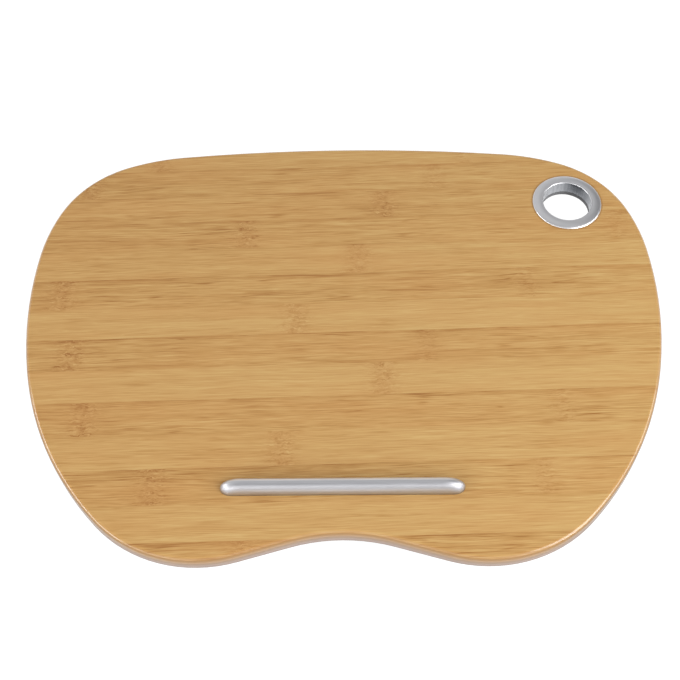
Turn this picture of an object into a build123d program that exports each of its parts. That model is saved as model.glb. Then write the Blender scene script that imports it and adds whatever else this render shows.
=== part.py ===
from build123d import *
import math
import os

# Lap tray with cushion. Millimetres, +Z up, +X to the right of a person who
# sits at the notched front, +Y away from that person. The origin is on the
# floor under the middle of the tray board.

# ---------------------------------------------------------------- dimensions
# heights
CUSHION_BOTTOM = 0.0
COVER_TOP = 47.6            # top of the cover's turned-in seam allowance
PANEL_T = 1.2               # thickness of the cover and top panel fabric
WELT_T = 0.8                # thickness of the piping's sewn-in tape
LOOP_T = 1.2                # loop strip
HOOK_T = 1.3                # hook strip
BACKING_T = 0.4             # backing sheet under the board
BOARD_BOTTOM = 52.8
BOARD_T = 11.0              # board, face film included
BOARD_TOP = BOARD_BOTTOM + BOARD_T

# board outline: right half, clockwise from the middle of the back edge.
# Each pair is an arc's radius and its turn in degrees.
BOARD_BACK_Y = 151.73
BOARD_ARCS = [(1174.3, 5.42), (145.1, 15.55), (73.8, 46.60), (124.5, 16.17),
              (276.2, 18.85), (223.4, 10.24), (195.9, 21.68), (83.5, 61.51)]
NOTCH_R = 106.68            # hollow arc in the middle of the front edge
TOP_ROUND = 3.0             # round-over of the upper edge
BOTTOM_ROUND = 1.5          # small round of the lower edge
FACE_T = 0.7                # thickness of the bamboo face
FACE_WRAP = 4.0             # how far the face runs down the edge

# hole with its two-part grommet
HOLE_X, HOLE_Y = 151.2, 100.9
HOLE_R = 17.45              # hole in the board
BORE_R = 16.0               # clear bore of the grommet
SKIRT_R = 17.3              # outside of the grommet's skirt
FLANGE_R = 22.86            # upper flange
FLANGE_T = 1.3
SKIRT_END = BOARD_TOP - 8.0
SLEEVE_FLANGE_R = 21.5      # lower flange
SLEEVE_BOTTOM = 51.6
MOUTH_R = 17.5              # flared mouth of the sleeve, at its lower end

# stop bar near the front edge
BAR_LENGTH = 140.4
BAR_WIDTH = 9.8
BAR_HEIGHT = 7.5
BAR_END = 11.0              # length of each rounded end
BAR_Y = -107.7
BAR_SCREW_X = 48.0
SCREW_R = 1.5
SCREW_HEAD_R = 3.6
SCREW_TIP = 68.0

# cushion outline, the same way round as the board
CUSHION_INSET = 28.0        # from the board's edge, at the sides and front
CUSHION_BACK_Y = 113.0
CORNER_R, CORNER_TURN = 46.0, 56.0
FLANK_R = 90.0
BELLY_ROUND = 20.0          # lower edge of the cushion
SHOULDER_ROUND = 8.0        # upper edge of the cover, under the piping
SEAM = 12.0                 # inner edge of the seam allowance
PIPING_R = 2.0
PIPING_INSET = 2.5
PIPING_Z = 48.0

# zip in the cushion's straight back wall
ZIP_Z = 30.0
SLOT_HALF, SLOT_H = 80.0, 12.0
TAPE_HALF, TAPE_T = 85.0, 0.7
TAPE_Z0, TAPE_Z1 = 21.0, 39.0
CHAIN_GAP = 1.6             # between the two rows, where the slider's post runs
ROW_W, ROW_T = 2.3, 2.4
ROW_HALF = 75.3
SLIDER_X = 69.5             # slider at the closed end
SLIDER_L, SLIDER_W = 10.4, 9.2
PULL_L, PULL_W, PULL_T = 24.0, 6.4, 1.3

# hook-and-loop strips
STRIP_L, STRIP_W = 80.0, 25.0
STRIP_SPOTS = [(-92, 52), (92, 52), (-92, -72), (92, -72)]

os.makedirs("parts", exist_ok=True)


# ------------------------------------------------------------------ outlines
def walk(y0, steps):
    """End point and heading (degrees, clockwise) of a chain of arcs and lines."""
    x, y, h = 0.0, y0, 0.0
    for kind, size, turn in steps:
        if kind == "line":
            x += size * math.cos(math.radians(-h))
            y += size * math.sin(math.radians(-h))
        else:
            side = 1.0 if turn > 0 else -1.0
            a0, a1 = math.radians(h), math.radians(h + turn)
            x += side * size * (math.sin(a1) - math.sin(a0))
            y += side * size * (math.cos(a1) - math.cos(a0))
            h += turn
    return x, y, h


def chain(y0, steps):
    """Draws the chain and its mirror image as one closed line."""
    point, direction = Vector(0, y0), Vector(1, 0)
    for kind, size, turn in steps:
        if kind == "line":
            edge = PolarLine(start=point, length=size, direction=direction)
        else:
            edge = JernArc(start=point, tangent=direction, radius=size, arc_size=-turn)
        point, direction = edge @ 1, edge % 1
    mirror(about=Plane.YZ)


# the straight flank beside the notch closes the board's outline at x = 0
turned = sum(a for _, a in BOARD_ARCS)
notch_turn = turned - 180.0
bx, by, bh = walk(BOARD_BACK_Y, [("arc", r, a) for r, a in BOARD_ARCS])
FLANK_L = (bx - NOTCH_R * math.sin(math.radians(notch_turn))) / math.cos(math.radians(notch_turn))


def board_steps(inset):
    steps = [("arc", r - inset, a) for r, a in BOARD_ARCS]
    steps.append(("line", FLANK_L, 0.0))
    steps.append(("arc", NOTCH_R + inset, -notch_turn))
    return steps


# cushion: straight back, corner drawn in beside the hole, straight flank,
# then the board's own curve, set in
px, py, ph = walk(BOARD_BACK_Y - CUSHION_INSET,
                  [("arc", r - CUSHION_INSET, a) for r, a in BOARD_ARCS[:5]])
flank_turn = ph - CORNER_TURN
fx, fy, fh = walk(CUSHION_BACK_Y, [("arc", CORNER_R, CORNER_TURN), ("arc", FLANK_R, flank_turn)])
c, s = math.cos(math.radians(CORNER_TURN)), math.sin(math.radians(CORNER_TURN))
SIDE_L = (fy - py) / s
BACK_HALF = px - fx - SIDE_L * c


def cushion_steps(inset):
    steps = [("line", BACK_HALF, 0.0),
             ("arc", CORNER_R - inset, CORNER_TURN),
             ("line", SIDE_L, 0.0),
             ("arc", FLANK_R - inset, flank_turn)]
    steps += [("arc", r - CUSHION_INSET - inset, a) for r, a in BOARD_ARCS[5:]]
    steps.append(("line", FLANK_L, 0.0))
    steps.append(("arc", NOTCH_R + CUSHION_INSET + inset, -notch_turn))
    return steps


print("board flank %.2f, notch turn %.2f, ends %s" % (FLANK_L, notch_turn, walk(BOARD_BACK_Y, board_steps(0))))
print("cushion back half %.2f, side %.2f, ends %s" % (BACK_HALF, SIDE_L, walk(CUSHION_BACK_Y, cushion_steps(0))))

# --------------------------------------------------------------------- board
# upper slab of the core, which stands back by the thickness of the face
with BuildPart() as core_upper:
    with BuildSketch(Plane.XY.offset(BOARD_TOP - FACE_WRAP)):
        with BuildLine():
            chain(BOARD_BACK_Y - FACE_T, board_steps(FACE_T))
        make_face()
    extrude(amount=FACE_WRAP - FACE_T)
    fillet(core_upper.edges().group_by(Axis.Z)[-1], radius=TOP_ROUND - FACE_T)

with BuildPart() as tray_core:
    # lower slab out to the board's edge
    with BuildSketch(Plane.XY.offset(BOARD_BOTTOM)):
        with BuildLine():
            chain(BOARD_BACK_Y, board_steps(0))
        make_face()
    extrude(amount=BOARD_T - FACE_WRAP)
    fillet(tray_core.edges().group_by(Axis.Z)[0], radius=BOTTOM_ROUND)
    add(core_upper.part)
    # hole for the grommet
    with BuildSketch(Plane.XY.offset(BOARD_BOTTOM)):
        with Locations((HOLE_X, HOLE_Y)):
            Circle(HOLE_R)
    extrude(amount=BOARD_T, mode=Mode.SUBTRACT)
    # countersunk screw holes from below
    with Locations(Plane(origin=(-BAR_SCREW_X, BAR_Y, BOARD_BOTTOM), z_dir=(0, 0, -1)),
                   Plane(origin=(BAR_SCREW_X, BAR_Y, BOARD_BOTTOM), z_dir=(0, 0, -1))):
        CounterSinkHole(radius=SCREW_R + 0.2, counter_sink_radius=SCREW_HEAD_R + 0.6,
                        counter_sink_angle=90, depth=BOARD_T)
tray_core.part.label = "tray_core"
export_step(tray_core.part, "parts/tray_core.step")

with BuildPart() as bamboo_face:
    with BuildSketch(Plane.XY.offset(BOARD_TOP - FACE_WRAP)):
        with BuildLine():
            chain(BOARD_BACK_Y, board_steps(0))
        make_face()
    extrude(amount=FACE_WRAP)
    fillet(bamboo_face.edges().group_by(Axis.Z)[-1], radius=TOP_ROUND)
    add(core_upper.part, mode=Mode.SUBTRACT)
    with BuildSketch(Plane.XY.offset(BOARD_TOP - FACE_T)):
        with Locations((HOLE_X, HOLE_Y)):
            Circle(HOLE_R)
        with Locations((-BAR_SCREW_X, BAR_Y), (BAR_SCREW_X, BAR_Y)):
            Circle(SCREW_R + 0.2)
    extrude(amount=FACE_T, mode=Mode.SUBTRACT)
bamboo_face.part.label = "bamboo_face"
export_step(bamboo_face.part, "parts/bamboo_face.step")

with BuildPart() as backing_sheet:
    with BuildSketch(Plane.XY.offset(BOARD_BOTTOM - BACKING_T)):
        with BuildLine():
            chain(BOARD_BACK_Y - 2.5, board_steps(2.5))
        make_face()
        with Locations((HOLE_X, HOLE_Y)):
            Circle(HOLE_R, mode=Mode.SUBTRACT)
        with Locations((-BAR_SCREW_X, BAR_Y), (BAR_SCREW_X, BAR_Y)):
            Circle(SCREW_HEAD_R + 0.7, mode=Mode.SUBTRACT)
    extrude(amount=BACKING_T)
backing_sheet.part.label = "backing_sheet"
export_step(backing_sheet.part, "parts/backing_sheet.step")

# ------------------------------------------------------------------- grommet
hole_plane = Plane(origin=(HOLE_X, HOLE_Y, 0), x_dir=(1, 0, 0), z_dir=(0, -1, 0))
hole_axis = Axis((HOLE_X, HOLE_Y, 0), (0, 0, 1))

with BuildPart() as grommet_ring:
    with BuildSketch(hole_plane):
        with BuildLine():
            Polyline((BORE_R, SKIRT_END), (SKIRT_R - 0.3, SKIRT_END), (SKIRT_R, SKIRT_END + 0.5),
                     (SKIRT_R, BOARD_TOP), (FLANGE_R, BOARD_TOP),
                     (FLANGE_R, BOARD_TOP + FLANGE_T), (BORE_R, BOARD_TOP + FLANGE_T), close=True)
        make_face()
    revolve(axis=hole_axis)
    top_rims = grommet_ring.edges().group_by(Axis.Z)[-1].sort_by(SortBy.RADIUS)
    fillet(top_rims[0], radius=0.5)
    fillet(grommet_ring.edges().group_by(Axis.Z)[-1].sort_by(SortBy.RADIUS)[-1], radius=1.1)
grommet_ring.part.label = "grommet_ring"
export_step(grommet_ring.part, "parts/grommet_ring.step")

with BuildPart() as grommet_sleeve:
    with BuildSketch(hole_plane):
        with BuildLine():
            Polyline((BORE_R, SLEEVE_BOTTOM + MOUTH_R - BORE_R), (MOUTH_R, SLEEVE_BOTTOM),
                     (SLEEVE_FLANGE_R, SLEEVE_BOTTOM),
                     (SLEEVE_FLANGE_R, BOARD_BOTTOM - BACKING_T), (SKIRT_R, BOARD_BOTTOM - BACKING_T),
                     (SKIRT_R, SKIRT_END), (BORE_R, SKIRT_END), close=True)
        make_face()
    revolve(axis=hole_axis)
    fillet(grommet_sleeve.edges().group_by(Axis.Z)[0], radius=0.25)
grommet_sleeve.part.label = "grommet_sleeve"
export_step(grommet_sleeve.part, "parts/grommet_sleeve.step")

# ------------------------------------------------------------------ stop bar
# A round capsule with elliptical ends, flattened across its width and cut in
# half along its length.
flat = (BAR_WIDTH / 2) / BAR_HEIGHT
bar_plane = Plane(origin=(0, BAR_Y / flat, BOARD_TOP), x_dir=(1, 0, 0), z_dir=(0, -1, 0))
with BuildPart() as stop_bar:
    with BuildSketch(bar_plane):
        with BuildLine():
            half = BAR_LENGTH / 2
            EllipticalCenterArc((-half + BAR_END, 0), BAR_END, BAR_HEIGHT, start_angle=90, arc_size=90)
            Line((-half + BAR_END, BAR_HEIGHT), (half - BAR_END, BAR_HEIGHT))
            EllipticalCenterArc((half - BAR_END, 0), BAR_END, BAR_HEIGHT, start_angle=0, arc_size=90)
            Line((-half, 0), (half, 0))
        make_face()
    revolve(axis=Axis((0, BAR_Y / flat, BOARD_TOP), (1, 0, 0)))
    scale(by=(1, flat, 1))
    split(bisect_by=Plane.XY.offset(BOARD_TOP), keep=Keep.TOP)
    # pilot holes for the screws
    with BuildSketch(Plane.XY.offset(BOARD_TOP)):
        with Locations((-BAR_SCREW_X, BAR_Y), (BAR_SCREW_X, BAR_Y)):
            Circle(SCREW_R + 0.05)
    extrude(amount=SCREW_TIP - BOARD_TOP + 0.3, mode=Mode.SUBTRACT)
stop_bar.part.label = "stop_bar"
export_step(stop_bar.part, "parts/stop_bar.step")

with BuildPart() as stop_bar_screws:
    for sx in (-BAR_SCREW_X, BAR_SCREW_X):
        with BuildSketch(Plane(origin=(sx, BAR_Y, 0), x_dir=(1, 0, 0), z_dir=(0, -1, 0))):
            with BuildLine():
                Polyline((0, BOARD_BOTTOM + 0.1), (SCREW_HEAD_R, BOARD_BOTTOM + 0.1),
                         (SCREW_HEAD_R, BOARD_BOTTOM + 0.35),
                         (SCREW_R, BOARD_BOTTOM + 0.35 + SCREW_HEAD_R - SCREW_R),
                         (SCREW_R, SCREW_TIP - 2.0), (0.3, SCREW_TIP), (0, SCREW_TIP), close=True)
            make_face()
        revolve(axis=Axis((sx, BAR_Y, 0), (0, 0, 1)))
    # cross recess
    with BuildSketch(Plane.XY.offset(BOARD_BOTTOM + 0.1)):
        with Locations((-BAR_SCREW_X, BAR_Y), (BAR_SCREW_X, BAR_Y)):
            Rectangle(3.8, 0.8)
            Rectangle(0.8, 3.8)
    extrude(amount=1.6, mode=Mode.SUBTRACT, taper=12)
stop_bar_screws.part.label = "stop_bar_screws"
export_step(stop_bar_screws.part, "parts/stop_bar_screws.step")


# ------------------------------------------------------ hook-and-loop strips
PANEL_Z = COVER_TOP + WELT_T

with BuildPart() as hook_strips:
    with BuildSketch(Plane.XY.offset(BOARD_BOTTOM - BACKING_T - HOOK_T)):
        with Locations(*STRIP_SPOTS):
            RectangleRounded(STRIP_L, STRIP_W, 4)
    extrude(amount=HOOK_T)
hook_strips.part.label = "hook_strips"
export_step(hook_strips.part, "parts/hook_strips.step")

with BuildPart() as loop_strips:
    with BuildSketch(Plane.XY.offset(PANEL_Z + PANEL_T)):
        with Locations(*STRIP_SPOTS):
            RectangleRounded(STRIP_L, STRIP_W, 4)
    extrude(amount=LOOP_T)
loop_strips.part.label = "loop_strips"
export_step(loop_strips.part, "parts/loop_strips.step")


# ------------------------------------------------------------------- cushion
def pillow(inset, z0, z1, low_round, high_round, back_y=None):
    """Closed body of the cushion's outline, set in by inset, with round edges."""
    with BuildPart() as body:
        with BuildSketch(Plane.XY.offset(z0)):
            with BuildLine():
                chain(CUSHION_BACK_Y - inset, cushion_steps(inset))
            make_face()
        extrude(amount=z1 - z0)
        fillet(body.edges().group_by(Axis.Z)[0], radius=low_round)
        fillet(body.edges().group_by(Axis.Z)[-1], radius=high_round)
        if back_y is not None:
            split(bisect_by=Plane(origin=(0, back_y, 0), z_dir=(0, -1, 0)), keep=Keep.TOP)
    return body.part


cover_outside = pillow(0, CUSHION_BOTTOM, COVER_TOP, BELLY_ROUND, SHOULDER_ROUND)
cover_inside = pillow(PANEL_T, CUSHION_BOTTOM + PANEL_T, COVER_TOP - PANEL_T,
                      BELLY_ROUND - PANEL_T, SHOULDER_ROUND - PANEL_T)
with BuildPart() as cushion_cover:
    add(cover_outside)
    add(cover_inside, mode=Mode.SUBTRACT)
    # mouth inside the seam allowance
    with BuildSketch(Plane.XY.offset(COVER_TOP - PANEL_T - 1)):
        with BuildLine():
            chain(CUSHION_BACK_Y - SEAM, cushion_steps(SEAM))
        make_face()
    extrude(amount=PANEL_T + 2, mode=Mode.SUBTRACT)
    # slot for the zip
    with BuildSketch(Plane(origin=(0, CUSHION_BACK_Y + 1, ZIP_Z), x_dir=(1, 0, 0), z_dir=(0, -1, 0))):
        RectangleRounded(2 * SLOT_HALF, SLOT_H, 3)
    extrude(amount=PANEL_T + 2, mode=Mode.SUBTRACT)
cushion_cover.part.label = "cushion_cover"
export_step(cushion_cover.part, "parts/cushion_cover.step")

with BuildPart() as piping:
    # sewn-in tape
    with BuildSketch(Plane.XY.offset(COVER_TOP)):
        with BuildLine():
            chain(CUSHION_BACK_Y - PIPING_INSET, cushion_steps(PIPING_INSET))
        make_face()
        with BuildLine():
            chain(CUSHION_BACK_Y - SEAM, cushion_steps(SEAM))
        make_face(mode=Mode.SUBTRACT)
    extrude(amount=WELT_T)
    # round edge cord
    with BuildLine(Plane.XY.offset(PIPING_Z)) as piping_path:
        chain(CUSHION_BACK_Y - PIPING_INSET, cushion_steps(PIPING_INSET))
    with BuildSketch(Plane(origin=(0, CUSHION_BACK_Y - PIPING_INSET, PIPING_Z), x_dir=(0, 1, 0), z_dir=(1, 0, 0))):
        Circle(PIPING_R)
    sweep(path=piping_path.wires()[0])
piping.part.label = "piping"
export_step(piping.part, "parts/piping.step")

with BuildPart() as cushion_top_panel:
    with BuildSketch(Plane.XY.offset(PANEL_Z)):
        with BuildLine():
            chain(CUSHION_BACK_Y - 4.7, cushion_steps(4.7))
        make_face()
    extrude(amount=PANEL_T)
cushion_top_panel.part.label = "cushion_top_panel"
export_step(cushion_top_panel.part, "parts/cushion_top_panel.step")

BAG_BACK = CUSHION_BACK_Y - 7.0
bag_outside = pillow(1.5, 1.5, 46.1, 18.5, 6.5, BAG_BACK)
bag_inside = pillow(2.0, 2.0, 45.6, 18.0, 6.0, BAG_BACK - 0.5)
bag_contents = pillow(2.2, 2.2, 45.4, 17.8, 5.8, BAG_BACK - 0.7)
with BuildPart() as inner_bag:
    add(bag_outside)
    add(bag_inside, mode=Mode.SUBTRACT)
inner_bag.part.label = "inner_bag"
export_step(inner_bag.part, "parts/inner_bag.step")

with BuildPart() as bead_filling:
    add(bag_contents)
bead_filling.part.label = "bead_filling"
export_step(bead_filling.part, "parts/bead_filling.step")

# ----------------------------------------------------------------------- zip
WALL = CUSHION_BACK_Y                   # outer face of the back wall
TAPE_FRONT = WALL - PANEL_T - 0.05


def wall_plane(y, x=0.0):
    """Plane on the back wall: its x is +X, its y is +Z, its normal is -Y."""
    return Plane(origin=(x, y, ZIP_Z), x_dir=(1, 0, 0), z_dir=(0, -1, 0))


with BuildPart() as zip_tape:
    with BuildSketch(wall_plane(TAPE_FRONT)):
        with Locations((0, (TAPE_Z1 - ZIP_Z + CHAIN_GAP / 2) / 2), (0, -(ZIP_Z - TAPE_Z0 + CHAIN_GAP / 2) / 2)):
            Rectangle(2 * TAPE_HALF, TAPE_Z1 - ZIP_Z - CHAIN_GAP / 2)
    extrude(amount=TAPE_T)
zip_tape.part.label = "zip_tape"
export_step(zip_tape.part, "parts/zip_tape.step")

ROW_C = (CHAIN_GAP + ROW_W) / 2
with BuildPart() as zip_chain:
    with BuildSketch(wall_plane(TAPE_FRONT + ROW_T)):
        with Locations((0, ROW_C), (0, -ROW_C)):
            Rectangle(2 * ROW_HALF, ROW_W)
    extrude(amount=ROW_T)
    fillet(zip_chain.edges().filter_by(Axis.X).group_by(Axis.Y)[-1], radius=0.7)
zip_chain.part.label = "zip_chain"
export_step(zip_chain.part, "parts/zip_chain.step")

with BuildPart() as zip_top_stops:
    with BuildSketch(wall_plane(TAPE_FRONT + ROW_T + 0.2)):
        with Locations((ROW_HALF + 1.4, ROW_C), (ROW_HALF + 1.4, -ROW_C)):
            Rectangle(2.4, ROW_W + 0.2)
    extrude(amount=ROW_T + 0.2)
    fillet(zip_top_stops.edges().group_by(Axis.Y)[-1], radius=0.6)
zip_top_stops.part.label = "zip_top_stops"
export_step(zip_top_stops.part, "parts/zip_top_stops.step")

with BuildPart() as zip_bottom_stop:
    with BuildSketch(wall_plane(TAPE_FRONT + ROW_T + 0.2)):
        with Locations((-ROW_HALF - 1.6, 0)):
            Rectangle(2.8, 2 * ROW_W + CHAIN_GAP)
    extrude(amount=ROW_T + 0.2)
    fillet(zip_bottom_stop.edges().group_by(Axis.Y)[-1], radius=0.6)
zip_bottom_stop.part.label = "zip_bottom_stop"
export_step(zip_bottom_stop.part, "parts/zip_bottom_stop.step")

# slider: front plate with turned-down flanges, back plate, post, pull bridge
CROSSBAR_Y = WALL + 3.6
with BuildPart() as zip_slider:
    with BuildSketch(wall_plane(WALL + 2.65, SLIDER_X)):
        RectangleRounded(SLIDER_L, SLIDER_W, 2.2)
    extrude(amount=1.2)
    with BuildSketch(wall_plane(WALL + 1.45, SLIDER_X)):
        with Locations((0, SLIDER_W / 2 - 0.55), (0, -SLIDER_W / 2 + 0.55)):
            Rectangle(SLIDER_L - 4.4, 1.1)
    extrude(amount=2.35)
    with BuildSketch(wall_plane(WALL - 2.25, SLIDER_X)):
        RectangleRounded(SLIDER_L, SLIDER_W, 2.2)
    extrude(amount=1.2)
    with BuildSketch(wall_plane(WALL + 1.45, SLIDER_X)):
        with Locations((3.4, 0)):
            Rectangle(2.4, 1.0)
    extrude(amount=3.7)
    with BuildSketch(Plane(origin=(SLIDER_X, WALL + 2.65, ZIP_Z - 1.1), x_dir=(1, 0, 0), z_dir=(0, 0, 1))):
        with BuildLine():
            Polyline((-4.2, 0), (-4.2, 2.2), (-3.2, 3.2), (3.2, 3.2), (4.2, 2.2), (4.2, 0),
                     (3.0, 0), (3.0, 2.0), (-3.0, 2.0), (-3.0, 0), close=True)
        make_face()
    extrude(amount=2.2)
zip_slider.part.label = "zip_slider"
export_step(zip_slider.part, "parts/zip_slider.step")

with BuildPart() as zip_pull:
    with BuildSketch(Plane(origin=(SLIDER_X, CROSSBAR_Y - PULL_T / 2, ZIP_Z), x_dir=(-1, 0, 0), z_dir=(0, 1, 0))):
        with BuildLine():
            w = PULL_W / 2
            Polyline((0, -w), (0, w), (8, w), (PULL_L - 3.5, w * 0.86))
            ThreePointArc((PULL_L - 3.5, w * 0.86), (PULL_L, 0), (PULL_L - 3.5, -w * 0.86))
            Polyline((PULL_L - 3.5, -w * 0.86), (8, -w), (0, -w))
        make_face()
        with Locations((3.75, 0)):
            Rectangle(7.5, 3.4, mode=Mode.SUBTRACT)
        with Locations((PULL_L - 4.0, 0)):
            Circle(1.2, mode=Mode.SUBTRACT)
    extrude(amount=PULL_T)
    # round crossbar, through both side bars
    with BuildSketch(Plane(origin=(SLIDER_X, CROSSBAR_Y, ZIP_Z - PULL_W / 2))):
        Circle(PULL_T / 2)
    extrude(amount=PULL_W)
zip_pull.part.label = "zip_pull"
export_step(zip_pull.part, "parts/zip_pull.step")
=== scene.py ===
import math
import random

import bmesh
import bpy
import numpy as np
from mathutils import Matrix, Vector, noise
from mathutils.bvhtree import BVHTree


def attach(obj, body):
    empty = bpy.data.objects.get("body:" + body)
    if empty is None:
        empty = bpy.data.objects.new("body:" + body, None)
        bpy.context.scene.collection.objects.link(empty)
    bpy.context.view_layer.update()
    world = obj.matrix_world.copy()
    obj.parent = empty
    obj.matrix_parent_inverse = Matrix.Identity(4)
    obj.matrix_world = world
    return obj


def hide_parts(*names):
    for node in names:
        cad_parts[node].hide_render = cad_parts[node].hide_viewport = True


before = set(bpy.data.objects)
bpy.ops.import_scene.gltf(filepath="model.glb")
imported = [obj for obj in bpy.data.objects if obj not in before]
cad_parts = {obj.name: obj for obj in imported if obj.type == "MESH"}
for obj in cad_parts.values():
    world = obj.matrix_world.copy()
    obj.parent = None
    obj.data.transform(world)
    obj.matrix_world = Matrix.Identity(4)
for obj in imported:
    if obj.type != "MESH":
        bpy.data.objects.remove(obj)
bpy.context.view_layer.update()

random.seed(7)
rng = np.random.default_rng(7)
scene = bpy.context.scene
scene.view_settings.view_transform = "Standard"
scene.view_settings.look = "None"
MM = 0.001

# ------------------------------------------------------------------- camera
YAW, PITCH, ROLL = (math.radians(a) for a in (-1.655, 57.387, -1.898))
BOARD_TOP = 63.8
fwd = Vector((math.sin(YAW) * math.cos(PITCH), math.cos(YAW) * math.cos(PITCH), -math.sin(PITCH)))
right0 = Vector((math.cos(YAW), -math.sin(YAW), 0))
up0 = right0.cross(fwd)
right = right0 * math.cos(ROLL) + up0 * math.sin(ROLL)
up = up0 * math.cos(ROLL) - right0 * math.sin(ROLL)
cam_data = bpy.data.cameras.new("camera")
cam_data.sensor_width = 36.0
cam_data.lens = 1084.45 / 680 * 36.0
cam_data.clip_start, cam_data.clip_end = 0.01, 200
cam = bpy.data.objects.new("camera", cam_data)
scene.collection.objects.link(cam)
basis = Matrix((right, up, -fwd)).transposed().to_4x4()
cam.matrix_world = Matrix.Translation((0.009008, -0.370873, 0.567966 + BOARD_TOP * MM)) @ basis
scene.camera = cam

# ------------------------------------------------- outlines, in millimetres
BOARD_BACK_Y = 151.73
BOARD_ARCS = [(1174.3, 5.42), (145.1, 15.55), (73.8, 46.60), (124.5, 16.17),
              (276.2, 18.85), (223.4, 10.24), (195.9, 21.68), (83.5, 61.51)]
NOTCH_R = 106.68
CUSHION_INSET, CUSHION_BACK_Y = 28.0, 113.0
CORNER_R, CORNER_TURN, FLANK_R = 46.0, 56.0, 90.0


def step_end(x, y, h, kind, size, turn):
    if kind == "line":
        return x + size * math.cos(math.radians(-h)), y + size * math.sin(math.radians(-h)), h
    side = 1.0 if turn > 0 else -1.0
    a0, a1 = math.radians(h), math.radians(h + turn)
    return x + side * size * (math.sin(a1) - math.sin(a0)), y + side * size * (math.cos(a1) - math.cos(a0)), h + turn


def chain_end(y0, steps):
    x, y, h = 0.0, y0, 0.0
    for s in steps:
        x, y, h = step_end(x, y, h, *s)
    return x, y, h


notch_turn = sum(a for _, a in BOARD_ARCS) - 180.0
bx, by, bh = chain_end(BOARD_BACK_Y, [("arc", r, a) for r, a in BOARD_ARCS])
FLANK_L = (bx - NOTCH_R * math.sin(math.radians(notch_turn))) / math.cos(math.radians(notch_turn))
qx, qy, qh = chain_end(BOARD_BACK_Y - CUSHION_INSET, [("arc", r - CUSHION_INSET, a) for r, a in BOARD_ARCS[:5]])
flank_turn = qh - CORNER_TURN
fx, fy, fh = chain_end(CUSHION_BACK_Y, [("arc", CORNER_R, CORNER_TURN), ("arc", FLANK_R, flank_turn)])
SIDE_L = (fy - qy) / math.sin(math.radians(CORNER_TURN))
BACK_HALF = qx - fx - SIDE_L * math.cos(math.radians(CORNER_TURN))


def board_steps(d):
    return ([("arc", r - d, a) for r, a in BOARD_ARCS]
            + [("line", FLANK_L, 0.0), ("arc", NOTCH_R + d, -notch_turn)])


def cushion_steps(d):
    return ([("line", BACK_HALF, 0.0), ("arc", CORNER_R - d, CORNER_TURN), ("line", SIDE_L, 0.0),
             ("arc", FLANK_R - d, flank_turn)]
            + [("arc", r - CUSHION_INSET - d, a) for r, a in BOARD_ARCS[5:]]
            + [("line", FLANK_L, 0.0), ("arc", NOTCH_R + CUSHION_INSET + d, -notch_turn)])


def loop(kind, inset=0.0, ds=1.5):
    """Closed outline as points, outward normals, and length along the plain outline.
    Every inset has the same number of points, at matching places."""
    steps_of, y_back = (board_steps, BOARD_BACK_Y) if kind == "board" else (cushion_steps, CUSHION_BACK_Y)
    nominal, steps = steps_of(0.0), steps_of(inset)
    x, y, h, run = 0.0, y_back - inset, 0.0, 0.0
    pts, nor, arc = [], [], []
    for (k0, s0, t0), (k1, s1, t1) in zip(nominal, steps):
        length = s0 if k0 == "line" else s0 * math.radians(abs(t0))
        n = max(2, int(math.ceil(length / ds)))
        for i in range(n):
            w = i / n
            part = (k1, s1 * w, 0.0) if k1 == "line" else (k1, s1, t1 * w if t1 * w else 1e-9)
            px, py, ph = step_end(x, y, h, *part)
            pts.append((px, py))
            nor.append((math.sin(math.radians(ph)), math.cos(math.radians(ph))))
            arc.append(run + length * w)
        x, y, h = step_end(x, y, h, k1, s1, t1)
        run += length
    pts.append((0.0, y)), nor.append((0.0, -1.0)), arc.append(run)
    pts, nor, arc = np.array(pts), np.array(nor), np.array(arc)
    flip = np.array([-1.0, 1.0])
    full = np.vstack([pts, (pts * flip)[-2:0:-1]])
    fulln = np.vstack([nor, (nor * flip)[-2:0:-1]])
    fulls = np.concatenate([arc, 2 * run - arc[-2:0:-1]])
    return full, fulln, fulls, 2 * run


# ------------------------------------------------------------ mesh helpers
def mesh_object(name, verts_mm, faces, smooth=True):
    me = bpy.data.meshes.new(name)
    me.from_pydata([tuple(v) for v in np.asarray(verts_mm, float) * MM], [], faces)
    me.validate()
    me.update()
    ob = bpy.data.objects.new(name, me)
    scene.collection.objects.link(ob)
    if smooth:
        me.shade_smooth()
    return ob


def fix_normals(ob):
    bm = bmesh.new()
    bm.from_mesh(ob.data)
    bmesh.ops.recalc_face_normals(bm, faces=bm.faces)
    bm.to_mesh(ob.data)
    bm.free()


def ring_faces(rows, cols, first=0, closed_rows=False):
    f = []
    for r in range(rows - (0 if closed_rows else 1)):
        a, b = first + r * cols, first + ((r + 1) % rows) * cols
        for c in range(cols):
            d = (c + 1) % cols
            f.append((a + c, a + d, b + d, b + c))
    return f


def merge(name, parts, smooth=True):
    """One mesh from a list of (verts, faces)."""
    verts, faces, n = [], [], 0
    for v, f in parts:
        v = np.asarray(v, float)
        verts.append(v)
        faces += [tuple(i + n for i in face) for face in f]
        n += len(v)
    return mesh_object(name, np.vstack(verts), faces, smooth)


def lathe(profile, centre, segments=128):
    """Closed profile of (radius, z) turned round a vertical axis."""
    verts, n = [], len(profile)
    for r, z in profile:
        for i in range(segments):
            a = 2 * math.pi * i / segments
            verts.append((centre[0] + r * math.cos(a), centre[1] + r * math.sin(a), z))
    return verts, ring_faces(n, segments, closed_rows=True)


def arc_pts(cx, cz, r, a0, a1, n):
    return [(cx + r * math.cos(math.radians(a0 + (a1 - a0) * i / n)),
             cz + r * math.sin(math.radians(a0 + (a1 - a0) * i / n))) for i in range(n + 1)]


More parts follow.
